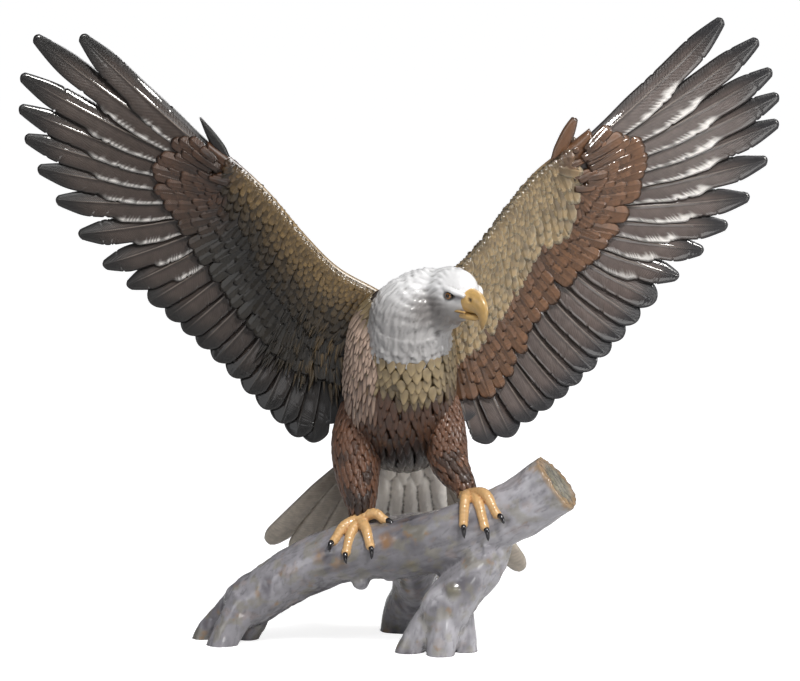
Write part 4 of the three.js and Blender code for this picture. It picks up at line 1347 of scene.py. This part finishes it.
def feet_pieces():
    skin = Shell()
    claws = Shell()
    for keys, thigh in ((LEFT_FOOT, LEFT_THIGH), (RIGHT_FOOT, RIGHT_THIGH)):
        hub = np.array(keys["hub"], float)
        leg = np.array(thigh[-2][1:4], float)
        loft(skin, bar_rings([leg, hub + (leg - hub) * 0.4, hub], LEG_RADII, 24, 20))
        loft(skin, egg_rings(hub, (HUB_RADIUS, HUB_RADIUS, HUB_RADIUS * 0.85)))
        for toe_end, claw_end in keys["toes"]:
            end = np.array(toe_end, float)
            point = np.array(claw_end, float)
            knuckle = hub + (end - hub) * 0.6 + keys["arch"]
            length = np.linalg.norm(knuckle - hub) + np.linalg.norm(end - knuckle)
            radii = [1.3 * TOE_RADIUS, 1.1 * TOE_RADIUS, 0.95 * TOE_RADIUS]
            loft(skin, bar_rings([hub, knuckle, end], radii, 20, 64, SCUTE_HEIGHT, length / SCUTE_SPACING))
            loft(skin, egg_rings(end + [0, 0, 0.4], (TOE_RADIUS,) * 3, detail=10))
            out = unit((end - hub) * [1, 1, 0])
            first = end + (point - end) * 0.35 + out * 2.4 + UPWARD * 1.6
            second = end + (point - end) * 0.75 + out * 2.0
            radii = [CLAW_RADIUS * share for share in (0.95, 0.82, 0.5, 0.08)]
            loft(claws, bar_rings([end, first, second, point + out * 0.4], radii, 16, 24))
    feet = fused("feet", skin, FEET_VOXEL, 1)
    _, _, depth = read_grooves(feet.data)
    # Painted shade in the grooves between the scutes and where the toes meet
    write_attributes(feet.data, blend(FOOT_TONE, FOOT_PAINTED_SHADE, 0.9 * smooth(depth, 0.0, 0.14)))
    claw = claws.object("claws")
    write_attributes(claw.data, np.tile(CLAW_TONE, (len(claw.data.vertices), 1)))
    return [(feet, SKIN), (claw, HORN)]


def limb(shell, keys, rings, sides, reference):
    """A gnarled limb with soft flutes that wind round it"""
    skin = spine(keys, reference)
    curve = keyed(keys)
    at, angle = np.meshgrid(np.linspace(0, 1, rings), turns(sides), indexing="ij")
    swell = LOG_FLUTE * (np.cos(3 * angle + 5 * at) + 0.5 * np.cos(2 * angle - 9 * at))
    loft(shell, skin(at, angle, swell * curve(at)[..., 3]))


def along_grain(points, axis, stretch):
    """Points squeezed along an axis, so that noise over them runs in streaks"""
    axis = unit(np.array(axis, float))
    return points - (points @ axis)[:, None] * axis * (1 - 1 / stretch)


def log_piece():
    shell = Shell()
    limb(shell, TRUNK, 90, 48, UPWARD)
    limb(shell, FRONT_BRANCH, 50, 40, ACROSS)
    limb(shell, REAR_STUMP, 50, 40, ACROSS)
    for top, bottom in PRONGS:
        start = np.array(top[:3], float)
        end = np.array(bottom[:3], float)
        stops = [start, end, end - [0, 0, FLOOR_CUT]]
        loft(shell, bar_rings(stops, [top[3], bottom[3], bottom[3]], 24, 20))
    for place in KNOBS:
        loft(shell, egg_rings(place, (KNOB_RADIUS, KNOB_RADIUS, KNOB_RADIUS * 0.9), detail=14))
    obj = fused("log", shell, LOG_VOXEL, 4)
    mesh = obj.data
    points, normals = read_points(mesh)
    upright = 1 - smooth(points[:, 2] - 0.35 * np.abs(points[:, 0]), 20, 60)
    lying = cloud(along_grain(points, TRUNK_GRAIN, STREAK_STRETCH), STREAK_SIZE, 2, 2)
    standing = cloud(along_grain(points, UPWARD, STREAK_STRETCH), STREAK_SIZE, 3, 2)
    streaks = lying * (1 - upright) + standing * upright
    bumps = cloud(points, 34, 1) * 1.6 + 0.8 * streaks - 0.5 * (1 - smooth(np.abs(streaks), 0, 0.08))
    points += normals * bumps[:, None]
    outward = unit(LOG_END_WAY)
    broken = smooth((points - LOG_END) @ outward, -5, -1)
    points += outward * (broken * 1.4 * cloud(points, 7, 8, 3))[:, None]
    points[:, 2] = np.maximum(points[:, 2], 0)
    write_points(mesh, points)
    points, normals, depth = read_grooves(mesh)
    moss = smooth(cloud(points, 15, 4, 4) + 0.3 * streaks, 0.1, 0.5)
    rust = smooth(cloud(points, 11, 7, 3), 0.32, 0.55)
    shadow = np.exp(-((points[:, 0] - 5) / 62) ** 2) * smooth(points[:, 2], 55, 75)
    around = np.linalg.norm(np.cross(points - LOG_END, outward), axis=1)
    colour = layered(
        LOG_TONE,
        (LOG_DARK, 0.8 * smooth(cloud(points, 30, 6) - 0.5 * streaks, -0.2, 0.8)),
        (LOG_DARK * 0.62, 0.66 * shadow),
        # Painted shade: the left end of the log darker, away from the light
        (LOG_DARK, 0.35 * smooth(-points[:, 0], 20, 80)),
        (LOG_DARK, 0.35 * (1 - smooth(np.abs(streaks), 0, 0.1))),
        (MOSS, 0.38 * moss),
        (RUST, 0.4 * rust * (0.3 + 0.7 * moss)),
        # Painted shade in the grooves of the bark
        (LOG_DARK * 0.55, 0.8 * smooth(depth, 0.02, 0.14)),
        (MOSS, 0.6 * broken),
        (RUST, 0.5 * broken * smooth(around, 15, 25)),
    )
    ragged = 3 * cloud(points, 6, 10, 2)
    for place, tone in LOG_SPOTS:
        near = np.linalg.norm(points - np.array(place, float), axis=1) + ragged
        colour = blend(colour, tone, 0.65 * (1 - smooth(near, 3, 11)))
    write_attributes(mesh, colour)
    return obj


def fill(made, **sockets):
    """Sets sockets of a node; a socket's name has spaces where the keyword has underscores"""
    for name, value in sockets.items():
        made.inputs[name.replace("_", " ")].default_value = value
    return made


def node(tree, kind, **sockets):
    return fill(tree.nodes.new(kind), **sockets)


def attribute(tree, name):
    made = tree.nodes.new("ShaderNodeAttribute")
    made.attribute_name = name
    return made


def plain_material(name):
    """A new material, its node tree and its shader"""
    material = bpy.data.materials.new(name)
    material.use_nodes = True
    return material, material.node_tree, material.node_tree.nodes["Principled BSDF"]


def maths(tree, operation, first, second=None):
    made = tree.nodes.new("ShaderNodeMath")
    made.operation = operation
    for socket, value in zip(made.inputs, (first, second)):
        if value is None:
            continue
        if isinstance(value, (int, float)):
            socket.default_value = value
        else:
            tree.links.new(value, socket)
    return made.outputs[0]


def glazed(name, roughness, coat, mottle, bump_scale, bump, barbs=False):
    """Painted clay under a clear glaze: brush mottle in the colour, fine relief under the gloss"""
    material, tree, shader = plain_material(name)
    link = tree.links.new
    fill(shader, Roughness=roughness, IOR=1.5, Coat_Weight=coat, Coat_Roughness=0.04)
    place = tree.nodes.new("ShaderNodeTexCoord").outputs["Object"]

    spots = node(tree, "ShaderNodeTexNoise", Scale=bump_scale * 0.35, Detail=4.0)
    link(place, spots.inputs["Vector"])
    shade = node(tree, "ShaderNodeMapRange", From_Min=0.3, From_Max=0.7, To_Min=1 - mottle, To_Max=1 + mottle)
    link(spots.outputs[0], shade.inputs["Value"])
    tint = tree.nodes.new("ShaderNodeVectorMath")
    tint.operation = "SCALE"
    link(attribute(tree, "paint").outputs["Color"], tint.inputs[0])
    link(shade.outputs[0], tint.inputs["Scale"])
    link(tint.outputs[0], shader.inputs["Base Color"])

    grit = node(tree, "ShaderNodeTexNoise", Scale=bump_scale, Detail=5.0)
    link(place, grit.inputs["Vector"])
    height = grit.outputs[0]
    if barbs:
        parts = tree.nodes.new("ShaderNodeSeparateXYZ")
        link(attribute(tree, "grain").outputs["Vector"], parts.inputs[0])
        off_shaft = maths(tree, "ABSOLUTE", parts.outputs[0])
        phase = maths(tree, "SUBTRACT", parts.outputs[1], maths(tree, "MULTIPLY", off_shaft, BARB_LEAN))
        wave = maths(tree, "SINE", maths(tree, "MULTIPLY", phase, 2 * math.pi / BARB_PITCH))
        height = maths(tree, "ADD", height, maths(tree, "MULTIPLY", wave, 0.5))
    relief = node(tree, "ShaderNodeBump", Strength=bump, Distance=BUMP_DISTANCE)
    link(height, relief.inputs["Height"])
    link(relief.outputs[0], shader.inputs["Normal"])
    return material


# Glazes: roughness of the paint, weight of the clear coat, brush mottle, fineness and strength of the relief
BUMP_DISTANCE = 0.0006
PLUMAGE = glazed("painted_plumage", 0.42, 0.8, 0.16, 420, 0.4, barbs=True)
WHITE_GLAZE = glazed("white_plumage", 0.3, 0.6, 0.05, 380, 0.35)
SKIN = glazed("painted_skin", 0.3, 0.7, 0.12, 700, 0.4)
HORN = glazed("dark_horn", 0.15, 0.9, 0.1, 500, 0.2)
EYE = glazed("glassy_eye", 0.08, 1.0, 0.05, 600, 0.02)
BARK = glazed("glazed_bark", 0.25, 1.0, 0.13, 260, 0.2)


def dress(obj, material):
    obj.data.materials.clear()
    obj.data.materials.append(material)
    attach(obj, BODY_NAME)
    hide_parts(NODE)


def floor_material():
    """A pale floor, bright to the eye, that throws little light up at the figure"""
    material, tree, shader = plain_material("floor")
    fill(shader, Base_Color=(0.5, 0.5, 0.505, 1), Roughness=0.6, Specular_IOR_Level=0.1,
         Emission_Color=(1, 1, 1, 1))
    rays = tree.nodes.new("ShaderNodeLightPath")
    glow = maths(tree, "MULTIPLY", rays.outputs["Is Camera Ray"], FLOOR_GLOW)
    tree.links.new(glow, shader.inputs["Emission Strength"])
    return material


# Camera: what it looks at, how far off it stands and how high, in drawing millimetres
CAMERA_TARGET = np.array([0.0, 0.0, 285.0])
CAMERA_DISTANCE = 3200
CAMERA_ELEVATION = math.radians(6)
CAMERA_LENS = 160
CAMERA_SENSOR = 36
FLOOR_HALF = 120.0
FLOOR_GLOW = 0.83
LIT_POINT = (0, 0, 0.3)

# Soft lamps: name, place, size, power and tint
LAMPS = [
    ("key", (0.6, -1.5, 2.0), 0.4, 34, (1, 0.98, 0.95)),
    ("fill", (-1.6, -1.2, 0.9), 0.9, 3, (0.97, 0.98, 1)),
    ("rim", (0.6, 1.2, 1.6), 0.6, 8, (1, 1, 1)),
    ("side_strip", (2.2, -0.35, 0.9), 0.5, 14, (1, 1, 1)),
    ("low_front", (0.5, -1.9, 0.12), 0.7, 6, (1, 0.99, 0.97)),
]


def linked(name, data):
    obj = bpy.data.objects.new(name, data)
    bpy.context.scene.collection.objects.link(obj)
    return obj


def stage():
    """Camera, floor, world and lights"""
    scene = bpy.context.scene
    camera = linked("camera", bpy.data.cameras.new("camera"))
    camera.data.lens = CAMERA_LENS
    camera.data.sensor_width = CAMERA_SENSOR
    camera.data.clip_end = 400
    offset = np.array([0, -math.cos(CAMERA_ELEVATION), math.sin(CAMERA_ELEVATION)]) * CAMERA_DISTANCE
    camera.location = (CAMERA_TARGET + offset - DRAWN_MIDDLE) * MM
    camera.rotation_euler = (math.pi / 2 - CAMERA_ELEVATION, 0, 0)
    scene.camera = camera

    mesh = bpy.data.meshes.new("floor")
    corners = [(-FLOOR_HALF, -FLOOR_HALF, 0), (FLOOR_HALF, -FLOOR_HALF, 0), (FLOOR_HALF, FLOOR_HALF, 0),
               (-FLOOR_HALF, FLOOR_HALF, 0)]
    mesh.from_pydata(corners, [], [(0, 1, 2, 3)])
    floor = linked("floor", mesh)
    mesh.materials.append(floor_material())

    world = bpy.data.worlds.new("studio")
    world.use_nodes = True
    fill(world.node_tree.nodes["Background"], Color=(0.96, 0.97, 1.0, 1), Strength=0.14)
    scene.world = world
    scene.view_settings.view_transform = "Standard"

    sun = linked("sky_light", bpy.data.lights.new("sky_light", "SUN"))
    sun.data.energy = 0.8
    sun.data.angle = math.radians(40)
    sun.rotation_euler = (math.radians(28), math.radians(18), 0)
    for name, place, size, power, tint in LAMPS:
        light = linked(name, bpy.data.lights.new(name, "AREA"))
        light.data.size = size
        light.data.energy = power
        light.data.color = tint
        light.location = place
        light.rotation_euler = (Vector(LIT_POINT) - Vector(place)).to_track_quat("-Z", "Y").to_euler()


stage()
made = wing_pieces(LEFT_WING, "left") + wing_pieces(RIGHT_WING, "right") + body_pieces()
made.append((head_piece(), WHITE_GLAZE))
made.append((beak_piece(), SKIN))
made.append((eyes_piece(), EYE))
made.append((tail_piece(), PLUMAGE))
made.append((vent_piece(), WHITE_GLAZE))
made += feet_pieces()
made.append((log_piece(), BARK))
for piece, material in made:
    dress(piece, material)
